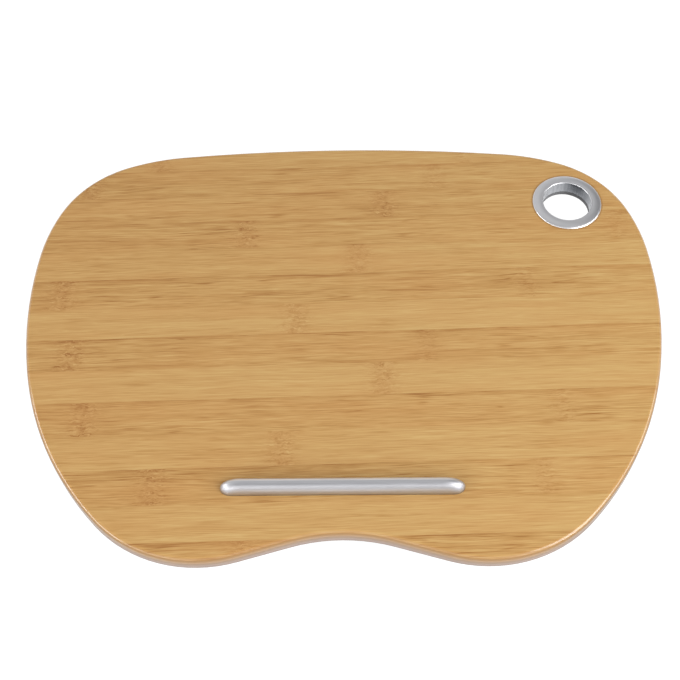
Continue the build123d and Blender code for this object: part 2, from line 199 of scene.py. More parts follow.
def capsule(p, q, r, sides=8, squash=0.7, lift=(0, 0, 1)):
    """Small thread stitch from p to q, a little arched along lift."""
    p, q = np.array(p, float), np.array(q, float)
    d = q - p
    length = np.linalg.norm(d)
    d /= length
    up_ = np.array(lift, float)
    up_ = up_ - d * (up_ @ d)
    up_ /= np.linalg.norm(up_)
    side = np.cross(d, up_)
    verts, rings = [], 7
    for i in range(rings):
        w = i / (rings - 1)
        rr = r * math.sqrt(max(0.0, 1 - (2 * w - 1) ** 6)) + r * 0.12
        c = p + d * (length * w) + up_ * (r * 0.9 * math.sin(math.pi * w) - r * 0.35)
        for k in range(sides):
            a = 2 * math.pi * k / sides
            verts.append(c + side * rr * math.cos(a) + up_ * rr * squash * math.sin(a))
    faces = ring_faces(rings, sides)
    faces.append(tuple(range(sides)))
    faces.append(tuple(range((rings - 1) * sides, rings * sides))[::-1])
    return verts, faces


def tube(points, r, sides=8, closed=False, up_hint=(0, 0, 1)):
    """Round tube along points; r is a number or one radius for each point."""
    P = np.asarray(points, float)
    n = len(P)
    R = np.broadcast_to(np.asarray(r, float), (n,))
    T = np.roll(P, -1, 0) - np.roll(P, 1, 0)
    if not closed:
        T[0], T[-1] = P[1] - P[0], P[-1] - P[-2]
    T /= np.linalg.norm(T, axis=1)[:, None]
    u = np.cross(T, np.array(up_hint, float))
    u /= np.linalg.norm(u, axis=1)[:, None]
    v = np.cross(u, T)
    a = np.linspace(0, 2 * math.pi, sides, endpoint=False)
    verts = (P[:, None] + R[:, None, None] * (u[:, None] * np.cos(a)[None, :, None] + v[:, None] * np.sin(a)[None, :, None])).reshape(-1, 3)
    faces = ring_faces(n, sides, closed_rows=closed)
    if not closed:
        faces.append(tuple(range(sides)))
        faces.append(tuple(range((n - 1) * sides, n * sides))[::-1])
    return verts, faces


# --------------------------------------------------------------- materials
class Net:
    """A small helper for building a node material."""

    def __init__(self, name):
        self.m = bpy.data.materials.new(name)
        self.m.use_nodes = True
        self.t = self.m.node_tree
        self.t.nodes.clear()
        self.out = self.t.nodes.new("ShaderNodeOutputMaterial")
        self.bsdf = self.t.nodes.new("ShaderNodeBsdfPrincipled")
        self.t.links.new(self.bsdf.outputs[0], self.out.inputs["Surface"])

    def put(self, socket, value):
        if isinstance(value, bpy.types.NodeSocket):
            self.t.links.new(value, socket)
        else:
            socket.default_value = value

    def set(self, **kw):
        for k, v in kw.items():
            self.put(self.bsdf.inputs[k.replace("_", " ")], v)
        return self

    def math(self, op, a, b=None, c=None, clamp=False):
        n = self.t.nodes.new("ShaderNodeMath")
        n.operation, n.use_clamp = op, clamp
        for i, v in enumerate((a, b, c)):
            if v is not None:
                self.put(n.inputs[i], v)
        return n.outputs[0]

    def coord(self, which="Object"):
        return self.t.nodes.new("ShaderNodeTexCoord").outputs[which]

    def uv(self, name):
        n = self.t.nodes.new("ShaderNodeUVMap")
        n.uv_map = name
        return n.outputs[0]

    def attr(self, name):
        n = self.t.nodes.new("ShaderNodeAttribute")
        n.attribute_name = name
        return n

    def mapping(self, vec, scale=(1, 1, 1), rot=(0, 0, 0), loc=(0, 0, 0)):
        n = self.t.nodes.new("ShaderNodeMapping")
        self.put(n.inputs["Vector"], vec)
        n.inputs["Scale"].default_value = scale
        n.inputs["Rotation"].default_value = rot
        n.inputs["Location"].default_value = loc
        return n.outputs[0]

    def split(self, vec):
        n = self.t.nodes.new("ShaderNodeSeparateXYZ")
        self.put(n.inputs[0], vec)
        return n.outputs

    def join(self, x, y, z=0.0):
        n = self.t.nodes.new("ShaderNodeCombineXYZ")
        for i, v in enumerate((x, y, z)):
            self.put(n.inputs[i], v)
        return n.outputs[0]

    def noise(self, vec, scale=1.0, detail=2.0, rough=0.5, distort=0.0, dims="3D"):
        n = self.t.nodes.new("ShaderNodeTexNoise")
        n.noise_dimensions = dims
        self.put(n.inputs["Vector"], vec)
        n.inputs["Scale"].default_value = scale
        n.inputs["Detail"].default_value = detail
        n.inputs["Roughness"].default_value = rough
        n.inputs["Distortion"].default_value = distort
        return n.outputs["Fac"]

    def white(self, vec):
        n = self.t.nodes.new("ShaderNodeTexWhiteNoise")
        n.noise_dimensions = "3D"
        self.put(n.inputs["Vector"], vec)
        return n.outputs["Value"]

    def voronoi(self, vec, scale=1.0, feature="F1", randomness=1.0):
        n = self.t.nodes.new("ShaderNodeTexVoronoi")
        n.feature = feature
        self.put(n.inputs["Vector"], vec)
        n.inputs["Scale"].default_value = scale
        n.inputs["Randomness"].default_value = randomness
        return n.outputs["Distance"]

    def ramp(self, fac, stops, mode="LINEAR"):
        n = self.t.nodes.new("ShaderNodeValToRGB")
        n.color_ramp.interpolation = mode
        el = n.color_ramp.elements
        while len(el) > 1:
            el.remove(el[-1])
        el[0].position, el[0].color = stops[0][0], (*stops[0][1], 1)
        for p, c in stops[1:]:
            e = el.new(p)
            e.color = (*c, 1)
        self.put(n.inputs[0], fac)
        return n.outputs[0]

    def mix(self, fac, a, b, kind="MIX"):
        n = self.t.nodes.new("ShaderNodeMix")
        n.data_type, n.blend_type = "RGBA", kind
        n.clamp_factor = True
        self.put(n.inputs[0], fac)
        self.put(n.inputs[6], a if isinstance(a, bpy.types.NodeSocket) else (*a, 1))
        self.put(n.inputs[7], b if isinstance(b, bpy.types.NodeSocket) else (*b, 1))
        return n.outputs[2]

    def remap(self, v, a, b, c, d, smooth=False):
        n = self.t.nodes.new("ShaderNodeMapRange")
        n.interpolation_type = "SMOOTHSTEP" if smooth else "LINEAR"
        self.put(n.inputs[0], v)
        for i, x in enumerate((a, b, c, d)):
            self.put(n.inputs[1 + i], x)
        return n.outputs[0]

    def bump(self, height, strength=0.3, distance=0.0002, normal=None):
        n = self.t.nodes.new("ShaderNodeBump")
        n.inputs["Strength"].default_value = strength
        n.inputs["Distance"].default_value = distance
        self.put(n.inputs["Height"], height)
        if normal is not None:
            self.put(n.inputs["Normal"], normal)
        return n.outputs[0]


def lin(r, g, b):
    """sRGB 0-255 to linear."""
    out = []
    for c in (r, g, b):
        c = c / 255.0
        out.append(c / 12.92 if c <= 0.04045 else ((c + 0.055) / 1.055) ** 2.4)
    return tuple(out)


# --- bamboo: strips 22.75 mm wide that run along X, turned a little
PITCH_MM, PHASE, TURN = 22.75, -24.4, 1.47
NONE = 250.0
# for each strip from the front to the back: tone, and where its joints lie
STRIPS = [(0.40, NONE, NONE), (0.26, -58, NONE), (0.76, NONE, NONE), (0.36, -113, 114), (0.76, -38, NONE),
          (0.36, -156, 130), (0.88, 24, NONE), (0.42, -169, 52), (0.88, -30, NONE), (0.38, -179, 119),
          (0.70, 12, NONE), (0.40, -62, 184), (0.48, 30, NONE), (0.50, -169, 66), (0.70, -123, 88)]


def bamboo():
    n = Net("bamboo")
    p0 = n.mapping(n.coord(), scale=(1000, 1000, 1000))
    p = n.mapping(n.coord(), scale=(1000, 1000, 1000), rot=(0, 0, -math.radians(TURN)))
    u, v, w = n.split(p)[0:3]
    q = n.math("DIVIDE", n.math("SUBTRACT", v, PHASE), PITCH_MM)
    k = n.math("FLOOR", q)
    f = n.math("FRACT", q)
    count = len(STRIPS)
    pick = n.math("DIVIDE", n.math("ADD", k, 7.5), float(count))
    stops = [(i / count, (t, (a + 250) / 500, (b + 250) / 500)) for i, (t, a, b) in enumerate(STRIPS)]
    data = n.ramp(pick, stops, "CONSTANT")
    rgb = n.t.nodes.new("ShaderNodeSeparateColor")
    n.put(rgb.inputs[0], data)
    tone = rgb.outputs[0]
    joint = None
    for out, width, amount in ((rgb.outputs[1], 8.5, 1.0), (rgb.outputs[2], 7.5, 0.55)):
        centre = n.math("MULTIPLY_ADD", out, 500.0, -250.0)
        # the joint's line wanders across the strip
        wander = n.math("MULTIPLY", n.math("SUBTRACT", n.noise(n.join(n.math("MULTIPLY", v, 0.16), k, 3.0), 1.0, 2.0), 0.5), 11.0)
        du = n.math("SUBTRACT", n.math("ADD", u, wander), centre)
        e = n.math("DIVIDE", du, width)
        bell = n.math("MULTIPLY", n.math("EXPONENT", n.math("MULTIPLY", n.math("MULTIPLY", e, e), -1.0)), amount)
        joint = bell if joint is None else n.math("MAXIMUM", joint, bell)
    # grain, shifted from strip to strip, wavy at the joints
    shift = n.math("MULTIPLY", k, 173.7)
    wav = n.math("SUBTRACT", n.noise(n.join(n.math("MULTIPLY", u, 0.20), n.math("MULTIPLY", v, 0.34), k), 1.0, 2.5, 0.6), 0.5)
    bend = n.math("MULTIPLY", n.math("MULTIPLY", wav, joint), 6.0)
    slow = n.math("MULTIPLY", n.math("SUBTRACT", n.noise(n.join(n.math("MULTIPLY", u, 0.012), n.math("MULTIPLY", v, 0.04), k), 1.0, 2.0), 0.5), 4.0)
    vg = n.math("ADD", n.math("ADD", v, bend), slow)
    ug = n.math("ADD", u, shift)

    def grain(fu, fv, z, detail, rough):
        return n.noise(n.join(n.math("MULTIPLY", ug, fu), n.math("MULTIPLY", vg, fv), n.math("ADD", k, z)), 1.0, detail, rough)

    def lines(fu, fv, z, width):
        """Thin fibres: where a stretched noise crosses its middle."""
        g = grain(fu, fv, z, 1.0, 0.5)
        d = n.math("ABSOLUTE", n.math("SUBTRACT", g, 0.5))
        return n.remap(d, 0.0, width, 1.0, 0.0, True)

    broad = grain(0.006, 0.15, 11.0, 2.0, 0.5)
    streak = grain(0.012, 0.60, 23.0, 3.0, 0.65)
    fine = grain(0.048, 1.30, 37.0, 2.0, 0.62)
    patch = n.noise(n.join(n.math("MULTIPLY", ug, 0.016), n.math("MULTIPLY", v, 0.20), 71.0), 1.0, 2.0)
    mottle = n.noise(n.join(n.math("MULTIPLY", u, 0.24), n.math("MULTIPLY", vg, 0.72), k), 1.0, 3.0, 0.68)
    dash = n.noise(n.join(n.math("MULTIPLY", u, 0.13), n.math("MULTIPLY", vg, 1.05), n.math("ADD", k, 5.0)), 1.0, 2.0, 0.6)
    # tone value: 0 dark brown, 1 pale straw
    val = n.math("MULTIPLY_ADD", tone, 0.23, 0.438)
    val = n.math("MULTIPLY_ADD", n.math("SUBTRACT", broad, 0.5), 0.41, val)
    # painted light: the wood is a little lighter towards +X, the right, and darker towards -X
    val = n.math("ADD", val, n.math("MULTIPLY_ADD", u, 0.00036, 0.016))
    val = n.math("ADD", val, n.math("MULTIPLY", n.math("SUBTRACT", streak, 0.5), n.math("MULTIPLY_ADD", tone, -0.50, 0.80)))
    val = n.math("ADD", val, n.math("MULTIPLY", n.math("SUBTRACT", fine, 0.5), n.math("MULTIPLY_ADD", tone, -0.86, 1.44)))
    # fibres, in patches, stronger on the dark strips
    amount = n.math("MULTIPLY", n.remap(patch, 0.38, 0.62, 0.35, 1.0, True), n.math("MULTIPLY_ADD", tone, -0.24, 0.35))
    hair = n.math("ADD", n.math("MULTIPLY", lines(0.010, 0.30, 51.0, 0.030), 1.0), n.math("MULTIPLY", lines(0.020, 0.62, 67.0, 0.045), 0.60))
    val = n.math("SUBTRACT", val, n.math("MULTIPLY", hair, amount))
    glint = n.math("MULTIPLY", lines(0.014, 0.45, 83.0, 0.030), 0.10)
    val = n.math("ADD", val, glint)
    # each strip is darkest along its far edge, more so on dark strips, and in stretches
    ragged = n.noise(n.join(n.math("MULTIPLY", ug, 0.022), k, 31.0), 1.0, 3.0, 0.6)
    f_r = n.math("ADD", f, n.math("MULTIPLY", n.math("SUBTRACT", streak, 0.5), 0.16))
    edge = n.remap(f_r, 0.84, 0.99, 0.0, 1.0, True)
    edge = n.math("MULTIPLY", edge, n.math("MULTIPLY_ADD", tone, -0.20, 0.26))
    edge = n.math("MULTIPLY", edge, n.remap(ragged, 0.35, 0.65, 0.35, 1.15))
    val = n.math("SUBTRACT", val, edge)
    seam = n.math("SUBTRACT", 1.0, n.remap(n.math("PINGPONG", q, 0.5), 0.0, 0.022, 0.0, 1.0, True))
    val = n.math("SUBTRACT", val, n.math("MULTIPLY", n.math("MULTIPLY", seam, n.remap(ragged, 0.42, 0.60, 0.0, 1.0)), 0.16))
    # joints: chopped, mottled and a little darker
    chop = n.math("ADD", n.remap(mottle, 0.34, 0.66, -0.26, 0.52), n.remap(dash, 0.35, 0.65, -0.24, 0.24))
    val = n.math("SUBTRACT", val, n.math("MULTIPLY", n.math("MULTIPLY", joint, chop), 0.62))
    base = n.ramp(val, [(0.0, lin(153, 104, 53)), (0.22, lin(173, 126, 70)), (0.42, lin(187, 143, 84)),
                        (0.60, lin(197, 155, 96)), (0.80, lin(204, 167, 107)), (1.0, lin(213, 179, 120))])
    # slow reddish drifts
    drift = n.noise(n.join(n.math("MULTIPLY", ug, 0.008), n.math("MULTIPLY", v, 0.045), 5.0), 1.0, 2.0)
    base = n.mix(n.remap(drift, 0.42, 0.72, 0.0, 0.30), base, lin(198, 145, 86))
    base = n.mix(n.math("MULTIPLY", joint, 0.14), base, lin(172, 117, 68))
    # painted shade: the face is darkened where it turns over the rounded arris, against the light it catches there
    base = n.mix(n.remap(w, 62.95, 63.74, 0.50, 0.0, True), base, lin(162, 120, 73))
    # painted shade: a darker band just under the arris, darker again on the left and right sides where the edge faces
    # away from the light
    side = n.remap(n.math("ABSOLUTE", n.split(p0)[0]), 105.0, 150.0, 0.0, 1.0, True)
    base = n.mix(n.remap(w, 62.45, 63.05, 1.0, 0.0, True), base, n.mix(side, lin(160, 124, 82), lin(150, 120, 88)))
    turned = n.remap(w, 61.0, 62.5, 1.0, 0.0, True)
    wrap = n.mix(n.remap(streak, 0.3, 0.7, 0.0, 1.0), lin(160, 127, 90), lin(170, 137, 99))
    # painted shade: the turned face is darker on the left and right sides
    base = n.mix(turned, base, n.mix(n.math("MULTIPLY", side, 0.85), wrap, lin(144, 119, 93)))
    # painted shadow: the wood is darkened in a soft ring round the foot of the grommet ring
    ring = n.math("SQRT", n.math("ADD", n.math("POWER", n.math("SUBTRACT", n.split(p0)[0], 151.2), 2.0),
                                 n.math("POWER", n.math("SUBTRACT", n.split(p0)[1], 100.9), 2.0)))
    base = n.mix(n.remap(ring, 22.9, 24.6, 0.42, 0.0, True), base, lin(122, 82, 46))
    height = n.math("ADD", n.math("MULTIPLY", streak, 0.5), n.math("MULTIPLY", fine, 0.5))
    gap = n.math("SUBTRACT", 1.0, n.remap(n.math("PINGPONG", q, 0.5), 0.0, 0.008, 0.0, 1.0))
    height = n.math("SUBTRACT", height, n.math("MULTIPLY", gap, 0.5))
    rough = n.math("MULTIPLY_ADD", n.math("SUBTRACT", streak, 0.5), 0.08, 0.25)
    rough = n.math("SUBTRACT", rough, n.remap(w, 63.52, 63.76, 0.06, 0.0, True))
    # lacquer gathers along the arris and gives it a sharper shine
    arris = n.math("MULTIPLY", n.remap(w, 63.50, 63.74, 1.0, 0.0, True), n.remap(w, 62.90, 63.20, 0.0, 1.0, True))
    n.set(Coat_Weight=n.math("MULTIPLY", arris, n.remap(fine, 0.3, 0.7, 0.85, 1.0)))
    n.bsdf.inputs["Coat Roughness"].default_value = 0.12
    n.bsdf.inputs["Coat IOR"].default_value = 1.6
    n.set(Base_Color=base, Roughness=rough, Normal=n.bump(height, 0.07, 0.0001))
    n.bsdf.inputs["IOR"].default_value = 1.46
    n.bsdf.inputs["Specular IOR Level"].default_value = 0.42
    return n.m


def fibreboard():
    n = Net("fibreboard")
    p = n.mapping(n.coord(), scale=(1000, 1000, 1000))
    x, y, z = n.split(p)[0:3]
    speck = n.noise(p, 1.6, 4.0, 0.7)
    blotch = n.noise(p, 0.06, 2.0)
    layers = n.noise(n.join(n.math("MULTIPLY", x, 0.05), n.math("MULTIPLY", y, 0.05), n.math("MULTIPLY", z, 1.4)), 1.0, 2.0)
    low, high = lin(151, 133, 124), lin(168, 150, 140)
    c = n.mix(n.remap(speck, 0.3, 0.7, 0, 1), low, high)
    c = n.mix(n.remap(layers, 0.35, 0.7, 0.0, 0.35), c, lin(164, 142, 126))
    c = n.mix(n.remap(blotch, 0.4, 0.7, 0.0, 0.25), c, lin(180, 158, 142))
    # warmer and darker next to the face
    near = n.remap(z, 55.8, 59.9, 0.0, 0.85, True)
    c = n.mix(near, c, lin(152, 122, 91))
    # painted shade: the lower arris is darker and a little grey
    c = n.mix(n.remap(z, 53.2, 56.0, 0.85, 0.0, True), c, lin(124, 109, 98))
    # painted shade: the edge is darker on the left and right sides
    c = n.mix(n.remap(n.math("ABSOLUTE", x), 105.0, 150.0, 0.0, 0.45, True), c, lin(126, 111, 99))
    n.set(Base_Color=c, Roughness=n.remap(speck, 0.3, 0.7, 0.48, 0.62), Normal=n.bump(speck, 0.16, 0.00012))
    n.bsdf.inputs["Specular IOR Level"].default_value = 0.35
    return n.m


def metal(name, colour, rough, grain=None, dirt=0.04, metallic=1.0, bump_=0.02):
    """Satin metal: fine grain along one axis, and faint handling marks."""
    n = Net(name)
    s = (900, 900, 900) if grain is None else grain
    g = n.noise(n.mapping(n.coord(), scale=s), 1.0, 3.0, 0.7)
    marks = n.noise(n.mapping(n.coord(), scale=(60, 60, 60)), 1.0, 3.0, 0.6)
    fine = n.noise(n.mapping(n.coord(), scale=(3200, 3200, 3200)), 1.0, 1.0)
    c = n.mix(n.remap(g, 0.3, 0.7, 0, 1), tuple(x * 0.94 for x in colour), tuple(min(1, x * 1.05) for x in colour))
    c = n.mix(n.remap(marks, 0.5, 0.8, 0.0, dirt * 4), c, tuple(x * 0.8 for x in colour))
    r = n.math("ADD", n.remap(g, 0.3, 0.7, rough - 0.03, rough + 0.04), n.remap(marks, 0.45, 0.75, 0.0, 0.06))
    n.set(Base_Color=c, Roughness=r, Normal=n.bump(n.math("ADD", g, n.math("MULTIPLY", fine, 0.5)), bump_, 0.00006))
    n.bsdf.inputs["Metallic"].default_value = metallic
    return n.m


def ring_metal():
    """Satin ring; the bore is coloured darker than the flange as painted shade, with faint drawing marks."""
    n = Net("ring_silver")
    p = n.mapping(n.coord(), scale=(1000, 1000, 1000), loc=(-151.2, -100.9, 0))
    x, y, z = n.split(p)[0:3]
    r = n.math("SQRT", n.math("ADD", n.math("MULTIPLY", x, x), n.math("MULTIPLY", y, y)))
    a = n.math("ARCTAN2", y, x)
    inside = n.math("MULTIPLY", n.remap(r, 16.0, 16.35, 1.0, 0.0, True), n.remap(z, 64.3, 64.75, 1.0, 0.0, True))
    fine = n.noise(n.join(n.math("MULTIPLY", a, 3.0), n.math("MULTIPLY", r, 2.4), 4.0), 1.0, 2.0)      # turning marks
    cloud = n.noise(n.mapping(n.coord(), scale=(90, 90, 90)), 1.0, 2.0)
    marks = n.noise(n.join(n.math("MULTIPLY", a, 9.0), n.math("MULTIPLY", z, 0.08), 0.0), 1.0, 3.0, 0.6)
    c = n.mix(n.remap(fine, 0.3, 0.7, 0, 1), lin(233, 233, 236), lin(239, 239, 242))
    c = n.mix(n.remap(cloud, 0.4, 0.7, 0.0, 0.5), c, lin(226, 227, 232))
    # painted shade: the bore is coloured darker than the flange
    bore = n.mix(n.remap(marks, 0.32, 0.68, 0, 1), lin(150, 152, 156), lin(184, 186, 190))
    # painted shade: the far right of the bore is darker still
    bore_shade_turn = n.math("ABSOLUTE", n.math("SUBTRACT", a, 0.80))
    bore = n.mix(n.remap(bore_shade_turn, 0.35, 1.15, 0.60, 0.0, True), bore, lin(104, 107, 113))
    c = n.mix(inside, c, bore)
    rough = n.math("SUBTRACT", n.remap(cloud, 0.3, 0.7, 0.31, 0.34), n.math("MULTIPLY", inside, 0.05))
    n.set(Base_Color=c, Roughness=rough, Normal=n.bump(fine, 0.006, 0.00003))
    n.bsdf.inputs["Metallic"].default_value = 1.0
    return n.m


def bar_metal():
    """Satin bar: brushed along its length, with a painted highlight on the crest, painted shade on the front face and
    at the foot.
    """
    n = Net("bar_silver")
    p = n.mapping(n.coord(), scale=(1000, 1000, 1000))
    x, y, z = n.split(p)[0:3]
    brush = n.noise(n.join(n.math("MULTIPLY", x, 0.04), n.math("MULTIPLY", y, 1.3), n.math("MULTIPLY", z, 1.3)), 1.0, 3.0, 0.6)
    cloud = n.noise(n.mapping(n.coord(), scale=(60, 60, 60)), 1.0, 3.0, 0.6)
    c = n.mix(n.remap(brush, 0.3, 0.7, 0, 1), lin(208, 208, 212), lin(218, 218, 222))
    # painted highlight: the crest is coloured lighter
    c = n.mix(n.math("MULTIPLY", n.remap(y, -107.5, -105.9, 0.0, 1.0, True), n.remap(z, 69.0, 70.4, 0.0, 1.0, True)), c, n.mix(n.remap(brush, 0.3, 0.7, 0, 1), lin(240, 240, 242), lin(247, 247, 249)))
    # painted shade: a darker band along the front face
    front = n.math("MULTIPLY", n.remap(y, -108.9, -107.9, 1.0, 0.0, True), n.remap(y, -111.7, -111.2, 0.0, 1.0, True))
    c = n.mix(front, c, n.mix(n.remap(brush, 0.3, 0.7, 0, 1), lin(188, 188, 192), lin(196, 196, 200)))
    # painted cool tint low down, against the warm reflection of the wood
    c = n.mix(n.remap(z, 67.2, 68.8, 0.8, 0.0, True), c, lin(200, 206, 218))
    # painted shade at the foot
    c = n.mix(n.remap(z, 63.9, 65.9, 0.85, 0.0, True), c, lin(146, 143, 141))
    c = n.mix(n.remap(cloud, 0.45, 0.75, 0.0, 0.25), c, lin(198, 198, 203))
    n.set(Base_Color=c, Roughness=n.remap(cloud, 0.3, 0.7, 0.41, 0.46), Normal=n.bump(brush, 0.004, 0.00004))
    n.bsdf.inputs["Metallic"].default_value = 1.0
    return n.m


def plastic(name, colour, rough=0.45, texture=900, bump_=0.10):
    n = Net(name)
    g = n.voronoi(n.mapping(n.coord(), scale=(texture,) * 3), 1.0)
    m = n.noise(n.mapping(n.coord(), scale=(50, 50, 50)), 1.0, 3.0)
    c = n.mix(n.remap(m, 0.35, 0.7, 0, 1), tuple(x * 0.88 for x in colour), tuple(x * 1.12 for x in colour))
    n.set(Base_Color=c, Roughness=n.remap(m, 0.3, 0.7, rough - 0.05, rough + 0.06), Normal=n.bump(g, bump_, 0.00008))
    return n.m


def weave(n, u, v, pitch):
    """Plain weave. u and v in millimetres. Height, and yarn numbers."""
    a, b = n.math("DIVIDE", u, pitch), n.math("DIVIDE", v, pitch)
    fa, fb = n.math("FRACT", a), n.math("FRACT", b)
    ia, ib = n.math("FLOOR", a), n.math("FLOOR", b)
    over = n.math("FLOORED_MODULO", n.math("ADD", ia, ib), 2.0)
    sa = n.math("SINE", n.math("MULTIPLY", fa, math.pi))
    sb = n.math("SINE", n.math("MULTIPLY", fb, math.pi))
    warp = n.math("MULTIPLY", sa, n.math("MULTIPLY_ADD", sb, 0.5, 0.5))
    weft = n.math("MULTIPLY", sb, n.math("MULTIPLY_ADD", sa, 0.5, 0.5))
    h = n.math("ADD", n.math("MULTIPLY", warp, over), n.math("MULTIPLY", weft, n.math("SUBTRACT", 1.0, over)))
    return h, ia, ib, over


def fabric(name, dark, light, coords, pitch=0.85, sheen=0.25, bump_=0.55):
    """Melange woven polyester. coords(n) gives u and v in millimetres."""
    n = Net(name)
    u, v = coords(n)
    h, ia, ib, over = weave(n, u, v, pitch)
    run_a = n.noise(n.join(ia, n.math("MULTIPLY", v, 0.11), 0.0), 1.0, 1.0)
    run_b = n.noise(n.join(n.math("MULTIPLY", u, 0.11), ib, 9.0), 1.0, 1.0)
    yarn = n.math("ADD", n.math("MULTIPLY", run_a, over), n.math("MULTIPLY", run_b, n.math("SUBTRACT", 1.0, over)))
    speck = n.white(n.join(ia, ib, 2.0))
    tone = n.math("ADD", n.math("MULTIPLY", n.remap(yarn, 0.25, 0.75, 0, 1), 0.65), n.math("MULTIPLY", speck, 0.35))
    cloud = n.noise(n.mapping(n.coord(), scale=(22, 22, 22)), 1.0, 3.0, 0.6)
    c = n.mix(tone, dark, light)
    # painted shade: darker in the low spots of the weave, between the yarns
    c = n.mix(n.remap(h, 0.0, 0.5, 0.55, 0.0), c, tuple(x * 0.35 for x in dark))
    c = n.mix(n.remap(cloud, 0.35, 0.75, 0.0, 0.20), c, light)
    fuzz = n.noise(n.mapping(n.coord(), scale=(2600, 2600, 2600)), 1.0, 2.0)
    n.set(Base_Color=c, Roughness=n.remap(speck, 0, 1, 0.78, 0.92),
          Normal=n.bump(n.math("ADD", h, n.math("MULTIPLY", fuzz, 0.25)), bump_, 0.00025))
    n.bsdf.inputs["Sheen Weight"].default_value = sheen
    n.bsdf.inputs["Sheen Roughness"].default_value = 0.45
    n.bsdf.inputs["Specular IOR Level"].default_value = 0.2
    return n.m


def flat_coords(n):
    p = n.mapping(n.coord(), scale=(1000, 1000, 1000))
    x, y, z = n.split(p)[0:3]
    return x, y


def uv_coords(n):
    p = n.mapping(n.uv("run"), scale=(1000, 1000, 1000))
    x, y, z = n.split(p)[0:3]
    return x, y


def pile(name, dark, light, scale=1500, bump_=0.9):
    """Fuzzy or hooked nylon."""
    n = Net(name)
    a = n.voronoi(n.mapping(n.coord(), scale=(scale, scale, scale)), 1.0)
    b = n.noise(n.mapping(n.coord(), scale=(500, 500, 500)), 1.0, 4.0, 0.7)
    c = n.mix(n.remap(a, 0.1, 0.8, 0, 1), light, dark)
    c = n.mix(n.remap(b, 0.4, 0.75, 0, 0.6), c, tuple(min(1, x * 1.7) for x in light))
    n.set(Base_Color=c, Roughness=0.85, Normal=n.bump(n.math("ADD", a, b), bump_, 0.0004))
    n.bsdf.inputs["Sheen Weight"].default_value = 0.4
    n.bsdf.inputs["Specular IOR Level"].default_value = 0.25
    return n.m


CHARCOAL_D, CHARCOAL_L = lin(70, 71, 76), lin(118, 119, 125)
PANEL_D, PANEL_L = lin(56, 57, 61), lin(92, 93, 98)
mats = {
    "bamboo": bamboo(),
    "fibreboard": fibreboard(),
    "ring": ring_metal(),
    "bar": bar_metal(),
    "screw": metal("screw_zinc", lin(190, 188, 180), 0.33, dirt=0.08),
    "zinc": metal("zip_enamel", lin(72, 73, 77), 0.36, dirt=0.06, metallic=0.85),
    "sleeve": plastic("sleeve_dark", lin(108, 108, 110), 0.45),
    "nylon": plastic("zip_nylon", lin(40, 40, 43), 0.38, texture=2500, bump_=0.05),
    "backing": pile("backing_felt", lin(58, 58, 61), lin(86, 86, 90), scale=700, bump_=0.35),
    "hook": pile("hook_nylon", lin(22, 22, 24), lin(52, 52, 56), scale=1300),
    "loop": pile("loop_nylon", lin(34, 34, 37), lin(78, 78, 83), scale=900),
    "panel": fabric("panel_fabric", PANEL_D, PANEL_L, flat_coords, 0.9, 0.2),
    "thread": fabric("thread", lin(64, 64, 68), lin(100, 100, 105), flat_coords, 0.22, 0.3, 0.4),
    "bag": fabric("bag_nonwoven", lin(222, 222, 219), lin(240, 240, 238), flat_coords, 1.6, 0.1, 0.3),
}


def give(ob, mat, body=None, replace=()):
    ob.data.materials.clear()
    ob.data.materials.append(mat)
    if body:
        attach(ob, body)
    if replace:
        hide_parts(*replace)
    return ob


def paint_node(node, mat):
    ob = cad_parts[node]
    ob.data.materials.clear()
    ob.data.materials.append(mat)
    return ob


# --------------------------------------------------------- cushion: sewn cover
COVER_TOP, BELLY_R, SHOULDER_R = 47.6, 20.0, 8.0
ZIP_Z, WALL = 30.0, CUSHION_BACK_Y
P0, N0, S0, PERIM = loop("cushion", 0.0, 1.5)
COLS = len(P0)


def offset_ring(inset):
    return loop("cushion", inset, 1.5)[0]


def profile():
    """Rows from the seam down the wall to the middle of the bottom: inset, z, shrink, outward and up parts of the normal, length."""
    rows = []
    t = 0.0
    for a in np.linspace(88, 0, 12):          # shoulder
        rows.append([SHOULDER_R - SHOULDER_R * math.cos(math.radians(a)), COVER_TOP - SHOULDER_R + SHOULDER_R * math.sin(math.radians(a)),
                     1.0, math.cos(math.radians(a)), math.sin(math.radians(a))])
    for z in np.linspace(COVER_TOP - SHOULDER_R, BELLY_R, 16)[1:]:
        rows.append([0.0, z, 1.0, 1.0, 0.0])
    for a in np.linspace(0, 90, 27)[1:]:      # lower edge
        rows.append([BELLY_R - BELLY_R * math.cos(math.radians(a)), BELLY_R - BELLY_R * math.sin(math.radians(a)),
                     1.0, math.cos(math.radians(a)), -math.sin(math.radians(a))])
    for i in (22, 24, 26):
        rows.append([float(i), 0.0, 1.0, 0.0, -1.0])
    for k in np.linspace(1, 0.02, 52)[1:]:
        rows.append([26.0, 0.0, k, 0.0, -1.0])
    return rows


ROWS = profile()
CENTRE = np.array([0.0, -6.0])


def grid_at(rows, push=None):
    """Points and normals of the whole grid; push is one outward distance for each."""
    pts, nor = [], []
    cache = {}
    for inset, z, k, out_, up_ in rows:
        key = round(inset, 6)
        if key not in cache:
            cache[key] = offset_ring(inset)
        ring = CENTRE + (cache[key] - CENTRE) * k
        pts.append(np.column_stack([ring, np.full(COLS, z)]))
        nor.append(np.column_stack([N0 * out_, np.full(COLS, up_)]))
    pts, nor = np.array(pts), np.array(nor)
    return pts if push is None else pts + nor * push[..., None], nor


